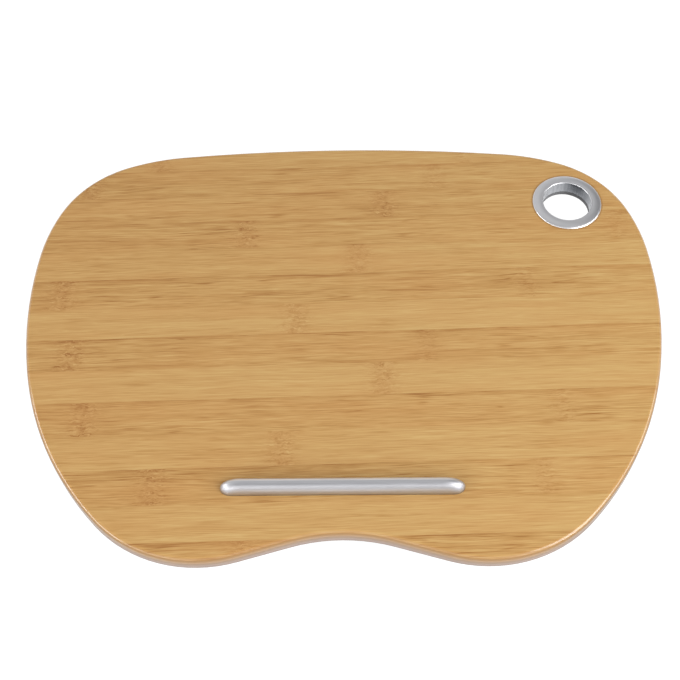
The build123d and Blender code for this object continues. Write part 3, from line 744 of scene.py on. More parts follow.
grid, grid_n = grid_at(ROWS)
ROW_T = np.concatenate([[0.0], np.cumsum(np.linalg.norm(np.diff(np.array([[r[0], r[1]] for r in ROWS[:56]]), axis=0), axis=1))])
ROW_T = np.concatenate([ROW_T, ROW_T[-1] + np.arange(1, len(ROWS) - 55) * 2.25])[:len(ROWS)]
Z_ROW = np.array([r[1] for r in ROWS])


def smooth01(x, a, b):
    t = np.clip((x - a) / (b - a), 0, 1)
    return t * t * (3 - 2 * t)


# where the surface has to stay on its pattern: at the seam and round the zip
X_, Y_ = grid[..., 0], grid[..., 1]
zip_side = smooth01(Y_, WALL - 9, WALL - 2) * (1 - smooth01(np.abs(X_), 84, 98))
zip_hold = zip_side * (1 - smooth01(np.abs(Z_ROW[:, None] - ZIP_Z), 8.5, 15.0))
seam_hold = 1 - smooth01(ROW_T[:, None], 1.0, 9.0) + 0 * X_


def simulate_belly():
    """Cloth pass: the filled cover swells between its seam, its zip and the floor."""
    start = 2.5
    rows = [[r[0] + start * r[3], r[1] - start * r[4], r[2], r[3], r[4]] for r in ROWS]
    body, _ = grid_at(rows)
    body = body.reshape(-1, 3)
    n_rows = len(rows)
    faces = ring_faces(n_rows, COLS)
    faces.append(tuple(range(COLS)))
    faces.append(tuple(range((n_rows - 1) * COLS, n_rows * COLS))[::-1])
    ob = mesh_object("belly_sim", body, faces)
    fix_normals(ob)
    rem = ob.modifiers.new("remesh", "REMESH")
    rem.mode, rem.voxel_size = "VOXEL", 0.005
    dg = bpy.context.evaluated_depsgraph_get()
    me = bpy.data.meshes.new_from_object(ob.evaluated_get(dg))
    ob.modifiers.clear()
    ob.data = me
    co = np.empty(len(me.vertices) * 3)
    me.vertices.foreach_get("co", co)
    co = co.reshape(-1, 3) / MM
    pin = ob.vertex_groups.new(name="pin")
    held = (co[:, 2] > COVER_TOP - 4.0) | ((co[:, 1] > WALL - 7) & (np.abs(co[:, 0]) < 90) & (np.abs(co[:, 2] - ZIP_Z) < 8))
    pin.add([int(i) for i in np.nonzero(held)[0]], 1.0, "REPLACE")
    floor_ = mesh_object("sim_floor", [(-400, -400, 0), (400, -400, 0), (400, 400, 0), (-400, 400, 0)], [(0, 1, 2, 3)])
    floor_.modifiers.new("collision", "COLLISION")
    floor_.collision.thickness_outer = 0.0005
    cl = ob.modifiers.new("cloth", "CLOTH")
    st = cl.settings
    st.quality, st.mass = 6, 0.15
    st.tension_stiffness = st.compression_stiffness = 12
    st.shear_stiffness, st.bending_stiffness = 6, 0.4
    st.vertex_group_mass = "pin"
    st.use_pressure, st.uniform_pressure_force = True, 4.0
    st.shrink_min = -0.045
    st.effector_weights.gravity = 0
    cl.collision_settings.use_collision = True
    cl.collision_settings.distance_min = 0.0008
    cl.point_cache.frame_start, cl.point_cache.frame_end = 1, 22
    for f_ in range(1, 21):
        scene.frame_set(f_)
    dg = bpy.context.evaluated_depsgraph_get()
    done = bpy.data.meshes.new_from_object(ob.evaluated_get(dg))
    v = np.empty(len(done.vertices) * 3)
    done.vertices.foreach_get("co", v)
    v = v.reshape(-1, 3) / MM
    polys = [tuple(p.vertices) for p in done.polygons]
    tree = BVHTree.FromPolygons([Vector(p) for p in v], polys)
    bpy.data.objects.remove(ob)
    bpy.data.objects.remove(floor_)
    scene.frame_set(1)
    off = np.zeros(grid.shape[:2])
    for r in range(grid.shape[0]):
        for c in range(COLS):
            nn = Vector(grid_n[r, c])
            o = Vector(grid[r, c]) - nn * 14
            hit = tree.ray_cast(o, nn, 40)
            off[r, c] = (hit[3] - 14) if hit[0] is not None else 0.0
    return off


swell = np.clip(simulate_belly(), -2.0, 9.0)
for _ in range(3):
    swell = (swell + np.roll(swell, 1, 1) + np.roll(swell, -1, 1)) / 3
    swell[1:-1] = (swell[1:-1] * 2 + swell[2:] + swell[:-2]) / 4

# gathers under the piping, deeper round the curves
heading = np.unwrap(np.arctan2(N0[:, 0], N0[:, 1]))
bend_ = np.abs(np.gradient(heading, 1.5))
kern = np.exp(-0.5 * (np.arange(-30, 31) / 12.0) ** 2)
kern /= kern.sum()
bend_ = np.convolve(np.concatenate([bend_[-60:], bend_, bend_[:60]]), kern, "same")[60:-60]
curvy = np.clip(bend_ * 60, 0.15, 1.0)
phase = np.array([noise.noise(Vector((s / 47.0, 3.1, 0))) * 5.0 + noise.noise(Vector((s / 15.0, 7.7, 0))) * 1.6 for s in S0])
wave = np.cos(2 * math.pi * S0 / (PERIM / round(PERIM / 13.0)) + phase)
wave = np.where(wave > 0, wave, wave * 1.25)
pleat = 1.15 * curvy[None] * wave[None] * np.exp(-(ROW_T[:, None] / 17.0) ** 2) * smooth01(ROW_T[:, None], 0.5, 6.0)

# slack folds of the cloth over the beads
lump = np.zeros(grid.shape[:2])
for r in range(grid.shape[0]):
    for c in range(COLS):
        p = grid[r, c]
        lump[r, c] = (noise.noise(Vector((p[0] / 30, p[1] / 30, p[2] / 22))) * 1.5
                      + noise.noise(Vector((p[0] / 11 + 9, p[1] / 11, p[2] / 15))) * 0.55)
low = smooth01(-Z_ROW, -9.0, -1.0)[:, None]
lump = lump * (1 - low * 0.85)

# darts: sewn folds that take up the cloth at the bends of the lower edge
darts = np.zeros(grid.shape[:2])
mid = PERIM / 2
corner_s = BACK_HALF + CORNER_R * math.radians(CORNER_TURN) / 2
flank_s = BACK_HALF + CORNER_R * math.radians(CORNER_TURN) + SIDE_L + FLANK_R * math.radians(flank_turn) / 2
lens = [(r - 0) * math.radians(a) for r, a in BOARD_ARCS[5:]]
after = BACK_HALF + CORNER_R * math.radians(CORNER_TURN) + SIDE_L + FLANK_R * math.radians(flank_turn)
lobe_s = after + lens[0] + lens[1] + lens[2] * 0.5
DARTS = []
for s_ in (corner_s, flank_s, lobe_s - 24, lobe_s + 24):
    DARTS += [s_, PERIM - s_]
run_t = smooth01(ROW_T[:, None], 34.0, 42.0) * (1 - smooth01(ROW_T[:, None], 76.0, 90.0))
for s_ in DARTS:
    ds_ = (S0 - s_ + mid) % PERIM - mid
    darts += -0.85 * np.exp(-(ds_ / 2.4) ** 2)[None] * run_t
    darts += 0.45 * (np.exp(-((ds_ - 8) / 5.0) ** 2) + np.exp(-((ds_ + 8) / 5.0) ** 2))[None] * run_t
free = (1 - zip_hold) * (1 - seam_hold)
push = np.clip(swell, -0.6, 8.0) * free + pleat * (1 - zip_hold) + (lump + darts) * free
on_floor = smooth01(-Z_ROW, -6.0, -0.5)[:, None]
push = push * (1 - on_floor) + np.minimum(push, 0.0) * 0.35 * on_floor
push = np.maximum(push, -0.9)
cover_pts = grid + grid_n * push[..., None]
# on the floor the cloth lies in shallow drag folds that run in from the darts
fold = np.zeros(grid.shape[:2])
for r in range(50, grid.shape[0]):
    for c in range(COLS):
        x, y, _ = grid[r, c]
        a = math.atan2(y - CENTRE[1], x - CENTRE[0])
        d = math.hypot(x - CENTRE[0], y - CENTRE[1])
        w_ = noise.noise(Vector((a * 2.6 + 3.0, d / 85.0, 1.7))) + 0.35 * noise.noise(Vector((x / 26.0, y / 26.0, 5.0)))
        line = math.exp(-(w_ / 0.055) ** 2) * min(1.0, d / 60.0)
        soft_ = 0.5 + 0.5 * noise.noise(Vector((x / 44.0, y / 36.0, 9.0)))
        fold[r, c] = 0.62 * line + 0.45 * soft_ * min(1.0, d / 25.0)
fold = (fold + np.roll(fold, 1, 1) + np.roll(fold, -1, 1)) / 3
fold[1:-1] = (fold[1:-1] * 2 + fold[2:] + fold[:-2]) / 4
cover_pts[..., 2] = np.maximum(cover_pts[..., 2], 0.12 + fold * smooth01(ROW_T[:, None], ROW_T[44], ROW_T[58]))
cover_pts[..., 2] = np.minimum(cover_pts[..., 2], 50.6)

# pillow top under the panel closes the form
flat_rows, flat_n = grid_at([[8.6, 47.62, k, 0.0, 1.0] for k in (1.0, 0.985, 0.9, 0.7, 0.45, 0.2, 0.02)])
allp = np.concatenate([flat_rows[::-1], cover_pts])
nr = allp.shape[0]
faces = ring_faces(nr, COLS)
faces.append(tuple(range(COLS)))
faces.append(tuple(range((nr - 1) * COLS, nr * COLS))[::-1])

# slot for the zip: its quads come out, and a hem folds in round the hole
SLOT_HALF, SLOT_H = 80.0, 12.0
flat_p = allp.reshape(-1, 3)


def in_slot(face):
    if len(face) != 4:
        return False
    c = flat_p[list(face)].mean(0)
    return c[1] > WALL - 3 and abs(c[0]) < SLOT_HALF and abs(c[2] - ZIP_Z) < SLOT_H / 2


faces = [f_ for f_ in faces if not in_slot(f_)]
cover = mesh_object("cushion_cover_cloth", flat_p, faces)
fix_normals(cover)
bm = bmesh.new()
bm.from_mesh(cover.data)
edges = [e for e in bm.edges if e.is_boundary]
for v in {v for e in edges for v in e.verts}:      # even mouth: the edge is set flat on the wall
    x, z = v.co.x / MM, v.co.z / MM - ZIP_Z
    v.co.y = WALL * MM
lip = bmesh.ops.extrude_edge_only(bm, edges=edges)["geom"]
for v in [g for g in lip if isinstance(g, bmesh.types.BMVert)]:
    v.co.y -= 1.15 * MM
lip_e = [g for g in lip if isinstance(g, bmesh.types.BMEdge) and g.is_boundary]
lip2 = bmesh.ops.extrude_edge_only(bm, edges=lip_e)["geom"]
for v in [g for g in lip2 if isinstance(g, bmesh.types.BMVert)]:
    z = v.co.z / MM - ZIP_Z
    v.co.z = (ZIP_Z + math.copysign(min(abs(z) + 2.2, 8.4), z)) * MM
    if abs(v.co.x) / MM > SLOT_HALF - 2.5:
        v.co.x += math.copysign(2.0 * MM, v.co.x)
bm.normal_update()
uv = bm.loops.layers.uv.new("run")
wall_l = bm.verts.layers.float.new("wall")
for v in bm.verts:
    v[wall_l] = 1.0 if v.co.z > 0.006 else max(0.0, (v.co.z / MM - 1.5) / 4.5)
angle_s = {}
for f_ in bm.faces:
    cx, cy = f_.calc_center_median().xy
    for lp in f_.loops:
        i = lp.vert.index
        c = i % COLS
        r = i // COLS - 7
        if i < nr * COLS and r >= 0:
            s_ = S0[c]
            if c == 0 and cx < 0:
                s_ = PERIM
            lp[uv].uv = (s_ * MM, ROW_T[min(r, len(ROW_T) - 1)] * MM)
        else:
            lp[uv].uv = (lp.vert.co.x, lp.vert.co.z)
bm.to_mesh(cover.data)
bm.free()


def cover_coords(n):
    wall_ = n.attr("wall").outputs["Fac"]
    p = n.mapping(n.coord(), scale=(1000, 1000, 1000))
    x, y, z = n.split(p)[0:3]
    q = n.mapping(n.uv("run"), scale=(1000, 1000, 1000))
    s_, t_, _z = n.split(q)[0:3]
    pick = n.math("GREATER_THAN", wall_, 0.5)
    keep = n.math("SUBTRACT", 1.0, pick)
    return (n.math("ADD", n.math("MULTIPLY", s_, pick), n.math("MULTIPLY", x, keep)),
            n.math("ADD", n.math("MULTIPLY", t_, pick), n.math("MULTIPLY", y, keep)))


mats["cover"] = fabric("cover_fabric", CHARCOAL_D, CHARCOAL_L, cover_coords, 0.85, 0.25)
give(cover, mats["cover"], "cushion", ["cushion_cover"])

# ------------------------------------------------------------------ piping
PIPE_Z = 48.0
ring25, _, _, _ = loop("cushion", 2.5, 1.2)
cols_p = len(ring25)
_, n25, s25, _ = loop("cushion", 0.0, 1.2)
wob = np.array([noise.noise(Vector((s / 9.0, 1.3, 0))) * 0.10 + noise.noise(Vector((s / 3.1, 5.3, 0))) * 0.05 for s in s25])
path = np.column_stack([ring25 + n25 * wob[:, None], PIPE_Z + wob * 0.8])
pv, pf = tube(path, 1.93 + wob * 0.5, 20, closed=True)
piping = mesh_object("piping_cord", pv, pf)
me = piping.data
uvl = me.uv_layers.new(name="run")
for p_ in me.polygons:
    for li in p_.loop_indices:
        i = me.loops[li].vertex_index
        c, k = i // 20, i % 20
        s_ = s25[c] if not (c == 0 and any(me.vertices[j].co.x < -1e-5 for j in p_.vertices)) else PERIM
        uvl.data[li].uv = (s_ * MM, k * 0.62 * MM)


def bias_coords(n):
    p = n.mapping(n.uv("run"), scale=(1000, 1000, 1000), rot=(0, 0, math.radians(45)))
    x, y, z = n.split(p)[0:3]
    return x, y


mats["piping"] = fabric("piping_fabric", lin(44, 44, 48), lin(74, 75, 80), bias_coords, 0.75, 0.25)
# sewn-in tape of the piping
t_out, _, _, _ = loop("cushion", 4.0, 3.0)
t_in, _, _, _ = loop("cushion", 12.0, 3.0)
nt = len(t_out)
tape_v = np.vstack([np.column_stack([t_out, np.full(nt, 48.36)]), np.column_stack([t_in, np.full(nt, 48.36)]),
                    np.column_stack([t_in, np.full(nt, 47.66)]), np.column_stack([t_out, np.full(nt, 47.66)])])
tape = mesh_object("piping_tape", tape_v, ring_faces(4, nt, closed_rows=True), smooth=False)
fix_normals(tape)
give(piping, mats["piping"], "cushion", ["piping"])
mats["piping_flat"] = fabric("piping_tape_fabric", lin(44, 44, 48), lin(74, 75, 80), flat_coords, 0.75, 0.2)
give(tape, mats["piping_flat"], "cushion")

# --------------------------------------------------------------- top panel
STRIP_SPOTS = [(-92, 52), (92, 52), (-92, -72), (92, -72)]


def strip_dist(x, y):
    """Distance outside the nearest hook-and-loop strip, in millimetres."""
    best = 1e9
    for sx, sy in STRIP_SPOTS:
        dx, dy = max(abs(x - sx) - 40, 0), max(abs(y - sy) - 12.5, 0)
        best = min(best, math.hypot(dx, dy))
    return best


p_edge = [4.8, 5.2, 6.2, 7.4, 9.0, 11.0, 14.0, 18.0, 22.0, 26.0]
ks = list(np.linspace(0.97, 0.03, 34))
top_rows, insets = [], []
for d in p_edge:
    top_rows.append(offset_ring(d))
    insets.append(d)
last = offset_ring(26.0)
for k in ks:
    top_rows.append(CENTRE + (last - CENTRE) * k)
    insets.append(26 + (1 - k) * 90)
panel_pts = []
for ring_, d in zip(top_rows, insets):
    zs = []
    for c in range(COLS):
        x, y = ring_[c]
        puff = smooth01(np.array(strip_dist(x, y)), 1.0, 22.0) * 1.0
        crown = 49.55 + 0.9 * puff * smooth01(np.array(d), 6.5, 24.0) + 0.18 * noise.noise(Vector((x / 17, y / 17, 2)))
        seam_dip = -0.35 * math.exp(-((d - 6.6) / 0.7) ** 2)
        edge_pleat = 0.16 * math.cos(S0[c] * 2 * math.pi / 8.3) * math.exp(-((d - 9) / 4.0) ** 2)
        zs.append(crown + seam_dip + edge_pleat)
    panel_pts.append(np.column_stack([ring_, zs]))
panel_pts = np.array(panel_pts)
under_rows = [CENTRE + (last - CENTRE) * k for k in (0.03, 0.35, 0.70, 0.97)] + [offset_ring(14.0), top_rows[0]]
under = np.array([np.column_stack([r_, np.full(COLS, 48.45)]) for r_ in under_rows])
pp = np.concatenate([under, panel_pts])
npr = pp.shape[0]
# a fan closes the middle, on top and on the underside
mid_low, mid_top = npr * COLS, npr * COLS + 1
middle = np.array([[CENTRE[0], CENTRE[1], 48.45], [CENTRE[0], CENTRE[1], panel_pts[-1, :, 2].mean()]])
pfaces = list(ring_faces(npr, COLS))
pfaces += [((c + 1) % COLS, c, mid_low) for c in range(COLS)]
pfaces += [((npr - 1) * COLS + c, (npr - 1) * COLS + (c + 1) % COLS, mid_top) for c in range(COLS)]
panel = mesh_object("cushion_top_cloth", np.concatenate([pp.reshape(-1, 3), middle]), pfaces)
bm = bmesh.new()
bm.from_mesh(panel.data)
bmesh.ops.remove_doubles(bm, verts=bm.verts, dist=1e-6)
bmesh.ops.recalc_face_normals(bm, faces=bm.faces)
bm.to_mesh(panel.data)
bm.free()
give(panel, mats["panel"], "cushion", ["cushion_top_panel"])

# stitches: along the seam, round the slot and round each strip
st_parts = []
st_ring, _, _, _ = loop("cushion", 6.6, 1.0)
seg = np.linalg.norm(np.roll(st_ring, -1, 0) - st_ring, axis=1)
cum = np.concatenate([[0], np.cumsum(seg)])
closed_ring = np.vstack([st_ring, st_ring[:1]])


def along(d):
    d = d % cum[-1]
    i = min(np.searchsorted(cum, d, "right") - 1, len(seg) - 1)
    w = (d - cum[i]) / seg[i]
    return closed_ring[i] * (1 - w) + closed_ring[i + 1] * w


count = int(cum[-1] / 3.6)
for i in range(count):
    a, b = along(i * cum[-1] / count), along(i * cum[-1] / count + 2.7)
    st_parts.append(capsule((*a, 49.30), (*b, 49.30), 0.26))
seam_thread = merge("panel_stitching", st_parts)
give(seam_thread, mats["thread"], "cushion")


def round_rect(w, h, r, step):
    """Points along a rounded rectangle's edge."""
    pts = []
    for cx, cy, a0 in ((w / 2 - r, h / 2 - r, 0), (-w / 2 + r, h / 2 - r, 90), (-w / 2 + r, -h / 2 + r, 180), (w / 2 - r, -h / 2 + r, 270)):
        for a in np.linspace(a0, a0 + 90, 9):
            pts.append((cx + r * math.cos(math.radians(a)), cy + r * math.sin(math.radians(a))))
    pts = np.array(pts + [pts[0]])
    seg_ = np.linalg.norm(np.diff(pts, axis=0), axis=1)
    cum_ = np.concatenate([[0], np.cumsum(seg_)])
    n = int(cum_[-1] / step)
    out = []
    for i in range(n):
        for d in (i * cum_[-1] / n, i * cum_[-1] / n + step * 0.74):
            j = min(np.searchsorted(cum_, d, "right") - 1, len(seg_) - 1)
            w_ = (d - cum_[j]) / seg_[j]
            out.append(pts[j] * (1 - w_) + pts[j + 1] * w_)
    return out


zs_parts = []
pts = round_rect(2 * SLOT_HALF + 7.0, SLOT_H + 6.4, 4.5, 3.2)
for a, b in zip(pts[::2], pts[1::2]):
    zs_parts.append(capsule((a[0], WALL + 0.06, ZIP_Z + a[1]), (b[0], WALL + 0.06, ZIP_Z + b[1]), 0.26, lift=(0, 1, 0)))
for sx in (-1, 1):                                  # bar tacks at the slot's ends
    for i in range(14):
        x = sx * (SLOT_HALF + 0.9 + (i % 2) * 0.35)
        z = ZIP_Z - 5.2 + i * 0.8
        zs_parts.append(capsule((x - 0.9, WALL + 0.1, z), (x + 0.9, WALL + 0.1, z + 0.25), 0.24, lift=(0, 1, 0)))
slot_thread = merge("zip_stitching", zs_parts)
give(slot_thread, mats["thread"], "cushion")

# --------------------------------------------------------- hook-and-loop
def strip_mesh(name, z0, z1, up_side, seed, cell=0.9, amp=0.35):
    """Four rounded strips with a pile on one side."""
    parts = []
    w, h, r = 80.0, 25.0, 4.0
    nx, ny = int(w / cell), int(h / cell)
    for n_, (sx, sy) in enumerate(STRIP_SPOTS):
        top, bot, idx = [], [], {}
        for j in range(ny + 1):
            for i in range(nx + 1):
                x, y = -w / 2 + w * i / nx, -h / 2 + h * j / ny
                # pull the corners in to a round
                ax, ay = abs(x) - (w / 2 - r), abs(y) - (h / 2 - r)
                if ax > 0 and ay > 0:
                    m = max(ax, ay)
                    l_ = math.hypot(ax, ay)
                    x = math.copysign(w / 2 - r + ax * m / l_, x)
                    y = math.copysign(h / 2 - r + ay * m / l_, y)
                border = i in (0, nx) or j in (0, ny)
                near = i < 2 or j < 2 or i > nx - 2 or j > ny - 2
                nz = noise.noise(Vector((x * 1.1 + seed, y * 1.1, n_))) * amp * 0.6 + ((i + j) % 2) * amp * 0.6
                z = (z1 - amp * 0.8 + nz) if not near else (z1 - amp * 1.0)
                z = z1 - amp * 1.35 if border else min(z, z1)
                if not up_side:
                    z = z0 + z1 - z
                idx[(i, j)] = len(top)
                top.append((sx + x, sy + y, z))
        base = z0 if up_side else z1
        off = len(top)
        ring_i = ([(i, 0) for i in range(nx)] + [(nx, j) for j in range(ny)] + [(i, ny) for i in range(nx, 0, -1)] + [(0, j) for j in range(ny, 0, -1)])
        low_ = [(top[idx[k]][0], top[idx[k]][1], base) for k in ring_i]
        f_ = [(idx[(i, j)], idx[(i + 1, j)], idx[(i + 1, j + 1)], idx[(i, j + 1)]) for j in range(ny) for i in range(nx)]
        m = len(ring_i)
        f_ += [(idx[ring_i[a]], off + a, off + (a + 1) % m, idx[ring_i[(a + 1) % m]]) for a in range(m)]
        f_.append(tuple(off + a for a in range(m)))
        parts.append((np.array(top + low_), f_))
    ob = merge(name, parts)
    fix_normals(ob)
    return ob


loops_ = strip_mesh("loop_strips_pile", 49.6, 50.8, True, 3.0)
give(loops_, mats["loop"], "cushion", ["loop_strips"])
hooks_ = strip_mesh("hook_strips_pile", 51.1, 52.4, False, 8.0, cell=0.8, amp=0.45)
give(hooks_, mats["hook"], "tray", ["hook_strips"])
ls_parts, hs_parts = [], []
for sx, sy in STRIP_SPOTS:
    pts = round_rect(80 - 4.2, 25 - 4.2, 2.6, 3.0)
    for a, b in zip(pts[::2], pts[1::2]):
        ls_parts.append(capsule((sx + a[0], sy + a[1], 50.72), (sx + b[0], sy + b[1], 50.72), 0.22))
loop_thread = merge("loop_strip_stitching", ls_parts)
give(loop_thread, mats["thread"], "cushion")

# --------------------------------------------------------------------- zip
TAPE_FRONT = WALL - 1.25


def tape_coords(n):
    p = n.mapping(n.coord(), scale=(1000, 1000, 1000))
    x, y, z = n.split(p)[0:3]
    chev = n.math("PINGPONG", z, 1.1)
    return n.math("ADD", x, chev), z


mats["tape"] = fabric("zip_tape_fabric", lin(28, 28, 31), lin(52, 52, 56), tape_coords, 0.42, 0.2, 0.6)


def tape_half(sign):
    """One half of the tape, with a thicker cord edge beside the chain."""
    prof = [(0.80, 0.0), (1.0, 0.16), (1.6, 0.16), (1.9, 0.0), (8.7, 0.0), (9.0, -0.08), (9.0, -0.62), (8.7, -0.7), (0.9, -0.7), (0.8, -0.6)]
    n, xs = len(prof), np.linspace(-85, 85, 120)
    v = []
    for x in xs:
        for z, y in prof:
            v.append((x, TAPE_FRONT - 0.02 + min(y, 0.0) + 0.02 * math.sin(x * 0.9) * (z > 2), ZIP_Z + sign * z))
    f_ = ring_faces(len(xs), n)
    f_.append(tuple(range(n)))
    f_.append(tuple(range((len(xs) - 1) * n, len(xs) * n))[::-1])
    return v, f_


tape_ob = merge("zip_tape_weave", [tape_half(1), tape_half(-1)], smooth=False)
fix_normals(tape_ob)
give(tape_ob, mats["tape"], "cushion", ["zip_tape"])


def coil(sign):
    """One row of the chain: a flattened helix of round nylon."""
    turn, per = 1.45, 14
    n = int(150.6 / turn) * per
    pts = []
    for i in range(n):
        a = 2 * math.pi * i / per
        x = -75.3 + 150.6 * i / (n - 1)
        hz = 1.95 + 0.86 * math.cos(a)
        hy = 1.22 + 0.82 * math.sin(a)
        pts.append((x + 0.25 * math.sin(a), TAPE_FRONT + hy, ZIP_Z + sign * hz))
    return tube(pts, 0.34, 7, up_hint=(1, 0, 0.02))


core_parts = [coil(1), coil(-1)]
for sign in (1, -1):                               # cord inside each row
    core_parts.append(tube([(x, TAPE_FRONT + 1.2, ZIP_Z + sign * 1.95) for x in np.linspace(-75.2, 75.2, 40)], 0.5, 8))
coil_ob = merge("zip_chain_coil", core_parts)
give(coil_ob, mats["nylon"], "cushion", ["zip_chain"])
# two lines of stitching hold each row to its tape
zt = []
for sign in (1, -1):
    for i in range(100):
        x = -74.6 + i * 1.5
        zt.append(capsule((x, TAPE_FRONT + 2.05, ZIP_Z + sign * 1.9), (x + 1.1, TAPE_FRONT + 2.05, ZIP_Z + sign * 1.9), 0.12, 6, lift=(0, 1, 0)))
chain_thread = merge("zip_chain_stitching", zt)
give(chain_thread, mats["thread"], "cushion")


def softened(node, name, width, segments=3, angle=35):
    """The CAD node's own shape with its sharp edges rounded."""
    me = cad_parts[node].data.copy()
    me.name = name
    ob = bpy.data.objects.new(name, me)
    scene.collection.objects.link(ob)
    bm = bmesh.new()
    bm.from_mesh(me)
    bmesh.ops.remove_doubles(bm, verts=bm.verts, dist=2e-6)
    bmesh.ops.dissolve_limit(bm, angle_limit=math.radians(1.0), verts=bm.verts, edges=bm.edges)
    bm.to_mesh(me)
    bm.free()
    bv = ob.modifiers.new("bevel", "BEVEL")
    bv.width, bv.segments = width * MM, segments
    bv.limit_method, bv.angle_limit = "ANGLE", math.radians(angle)
    bv.use_clamp_overlap = True
    dg = bpy.context.evaluated_depsgraph_get()
    done = bpy.data.meshes.new_from_object(ob.evaluated_get(dg))
    ob.modifiers.clear()
    ob.data = done
    ob.data.materials.clear()
    for p_ in done.polygons:
        p_.use_smooth = True
    done.set_sharp_from_angle(angle=math.radians(50))
    return ob


for node, name, w, body in (("zip_slider", "zip_slider_body", 0.30, "zip_slider"), ("zip_pull", "zip_pull_tab", 0.28, "zip_pull"),
                            ("zip_top_stops", "zip_top_stop_clips", 0.25, "cushion"), ("zip_bottom_stop", "zip_bottom_stop_clip", 0.25, "cushion")):
    ob = softened(node, name, w)
    give(ob, mats["zinc"], body, [node])

# inner bag and beads stay as they are, inside the cover
paint_node("inner_bag", mats["bag"])
bead_net = Net("beads")
bv_ = bead_net.voronoi(bead_net.mapping(bead_net.coord(), scale=(330, 330, 330)), 1.0)
# painted shade: darker in the hollows between the beads
bead_net.set(Base_Color=bead_net.mix(bead_net.remap(bv_, 0.1, 0.7, 0, 1), lin(246, 246, 244), lin(196, 196, 192)), Roughness=0.6,
             Normal=bead_net.bump(bead_net.math("SUBTRACT", 1.0, bv_), 0.9, 0.001))
paint_node("bead_filling", bead_net.m)

# ------------------------------------------------------------------- board
paint_node("bamboo_face", mats["bamboo"])
paint_node("tray_core", mats["fibreboard"])
paint_node("backing_sheet", mats["backing"])
paint_node("stop_bar_screws", mats["screw"])

# grommet: upper ring, its flange a little crowned
HX, HY = 151.2, 100.9
prof = [(22.86, 63.84), (22.86, 63.95)]
for a in np.linspace(7, 90, 22):                                       # long outer crown
    prof.append((18.2 + 4.66 * math.cos(math.radians(a)), 63.8 + 1.29 * math.sin(math.radians(a))))
prof += [(17.7, 65.09), (17.25, 65.07), (16.9, 65.03)]
prof += arc_pts(16.62, 64.45, 0.62, 78, 180, 10)                       # inner lip
prof += [(16.0, 62.0), (16.0, 59.0), (16.0, 56.6), (16.06, 56.1), (16.25, 55.8), (16.9, 55.8), (17.3, 56.3), (17.3, 60.0), (17.3, 63.8),
         (19.0, 63.8), (21.0, 63.8), (22.7, 63.8)]
v_, f_ = lathe(prof, (HX, HY), 160)
ring_ob = mesh_object("grommet_ring_turned", v_, f_)
fix_normals(ring_ob)
give(ring_ob, mats["ring"], "tray", ["grommet_ring"])
# lower sleeve
prof = [(16.35, 55.72), (16.08, 55.62), (16.0, 55.3), (16.0, 54.2), (16.0, 53.2), (16.12, 52.95), (17.35, 51.75), (17.6, 51.62)]
prof += [(19.0, 51.6), (21.0, 51.6)] + arc_pts(21.1, 52.0, 0.4, 270, 360, 5)
prof += [(21.45, 52.3), (21.3, 52.4), (19.0, 52.4), (17.4, 52.4), (17.3, 52.6), (17.3, 54.2), (17.25, 55.65), (17.0, 55.75)]
v_, f_ = lathe(prof, (HX, HY), 128)
sleeve_ob = mesh_object("grommet_sleeve_turned", v_, f_)
fix_normals(sleeve_ob)
give(sleeve_ob, mats["sleeve"], "tray", ["grommet_sleeve"])

# stop bar: half-round moulding with drooping ends
BAR_L, BAR_W, BAR_H, BAR_Y = 140.4, 9.8, 7.5, -107.7


def bar_mesh():
    half, end = BAR_L / 2, 13.0
    ts = np.linspace(0, 1, 34) ** 2.0
    xs = [-half + end * t for t in ts]
    xs = xs + list(np.linspace(xs[-1], -xs[-1], 40)[1:-1]) + [-x for x in reversed(xs)]
    rows_, sides = [], 36
    for x in xs:
        d = min(half - abs(x), end)
        front = math.sqrt(max(0.0, 1 - (1 - min(1.0, d / 6.5)) ** 2.2))     # plan, towards the user
        rear = math.sqrt(max(0.0, 1 - (1 - min(1.0, d / 12.0)) ** 2.2))     # plan, away from the user
        hh = math.sqrt(max(0.0, 1 - (1 - d / end) ** 2.3))                  # height
        row = []
        for k in range(sides + 1):
            a = math.pi * k / sides
            cy, cz = math.cos(a), math.sin(a)
            yy = cy * BAR_W / 2 * (rear if cy > 0 else front)
            row.append((x, BAR_Y + yy, BOARD_TOP + cz * BAR_H * hh))
        rows_.append(row)
    v = np.array(rows_).reshape(-1, 3)
    m = sides + 1
    f_ = []
    for r in range(len(xs) - 1):
        for k in range(sides):
            f_.append((r * m + k, r * m + k + 1, (r + 1) * m + k + 1, (r + 1) * m + k))
        f_.append((r * m + sides, r * m, (r + 1) * m, (r + 1) * m + sides))
    return v, f_


v_, f_ = bar_mesh()
bar_ob = mesh_object("stop_bar_moulding", v_, f_)
bm = bmesh.new()
bm.from_mesh(bar_ob.data)
bmesh.ops.remove_doubles(bm, verts=bm.verts, dist=1e-6)
bmesh.ops.recalc_face_normals(bm, faces=bm.faces)
bm.to_mesh(bar_ob.data)
bm.free()
bar_ob.data.set_sharp_from_angle(angle=math.radians(60))
give(bar_ob, mats["bar"], "tray", ["stop_bar"])

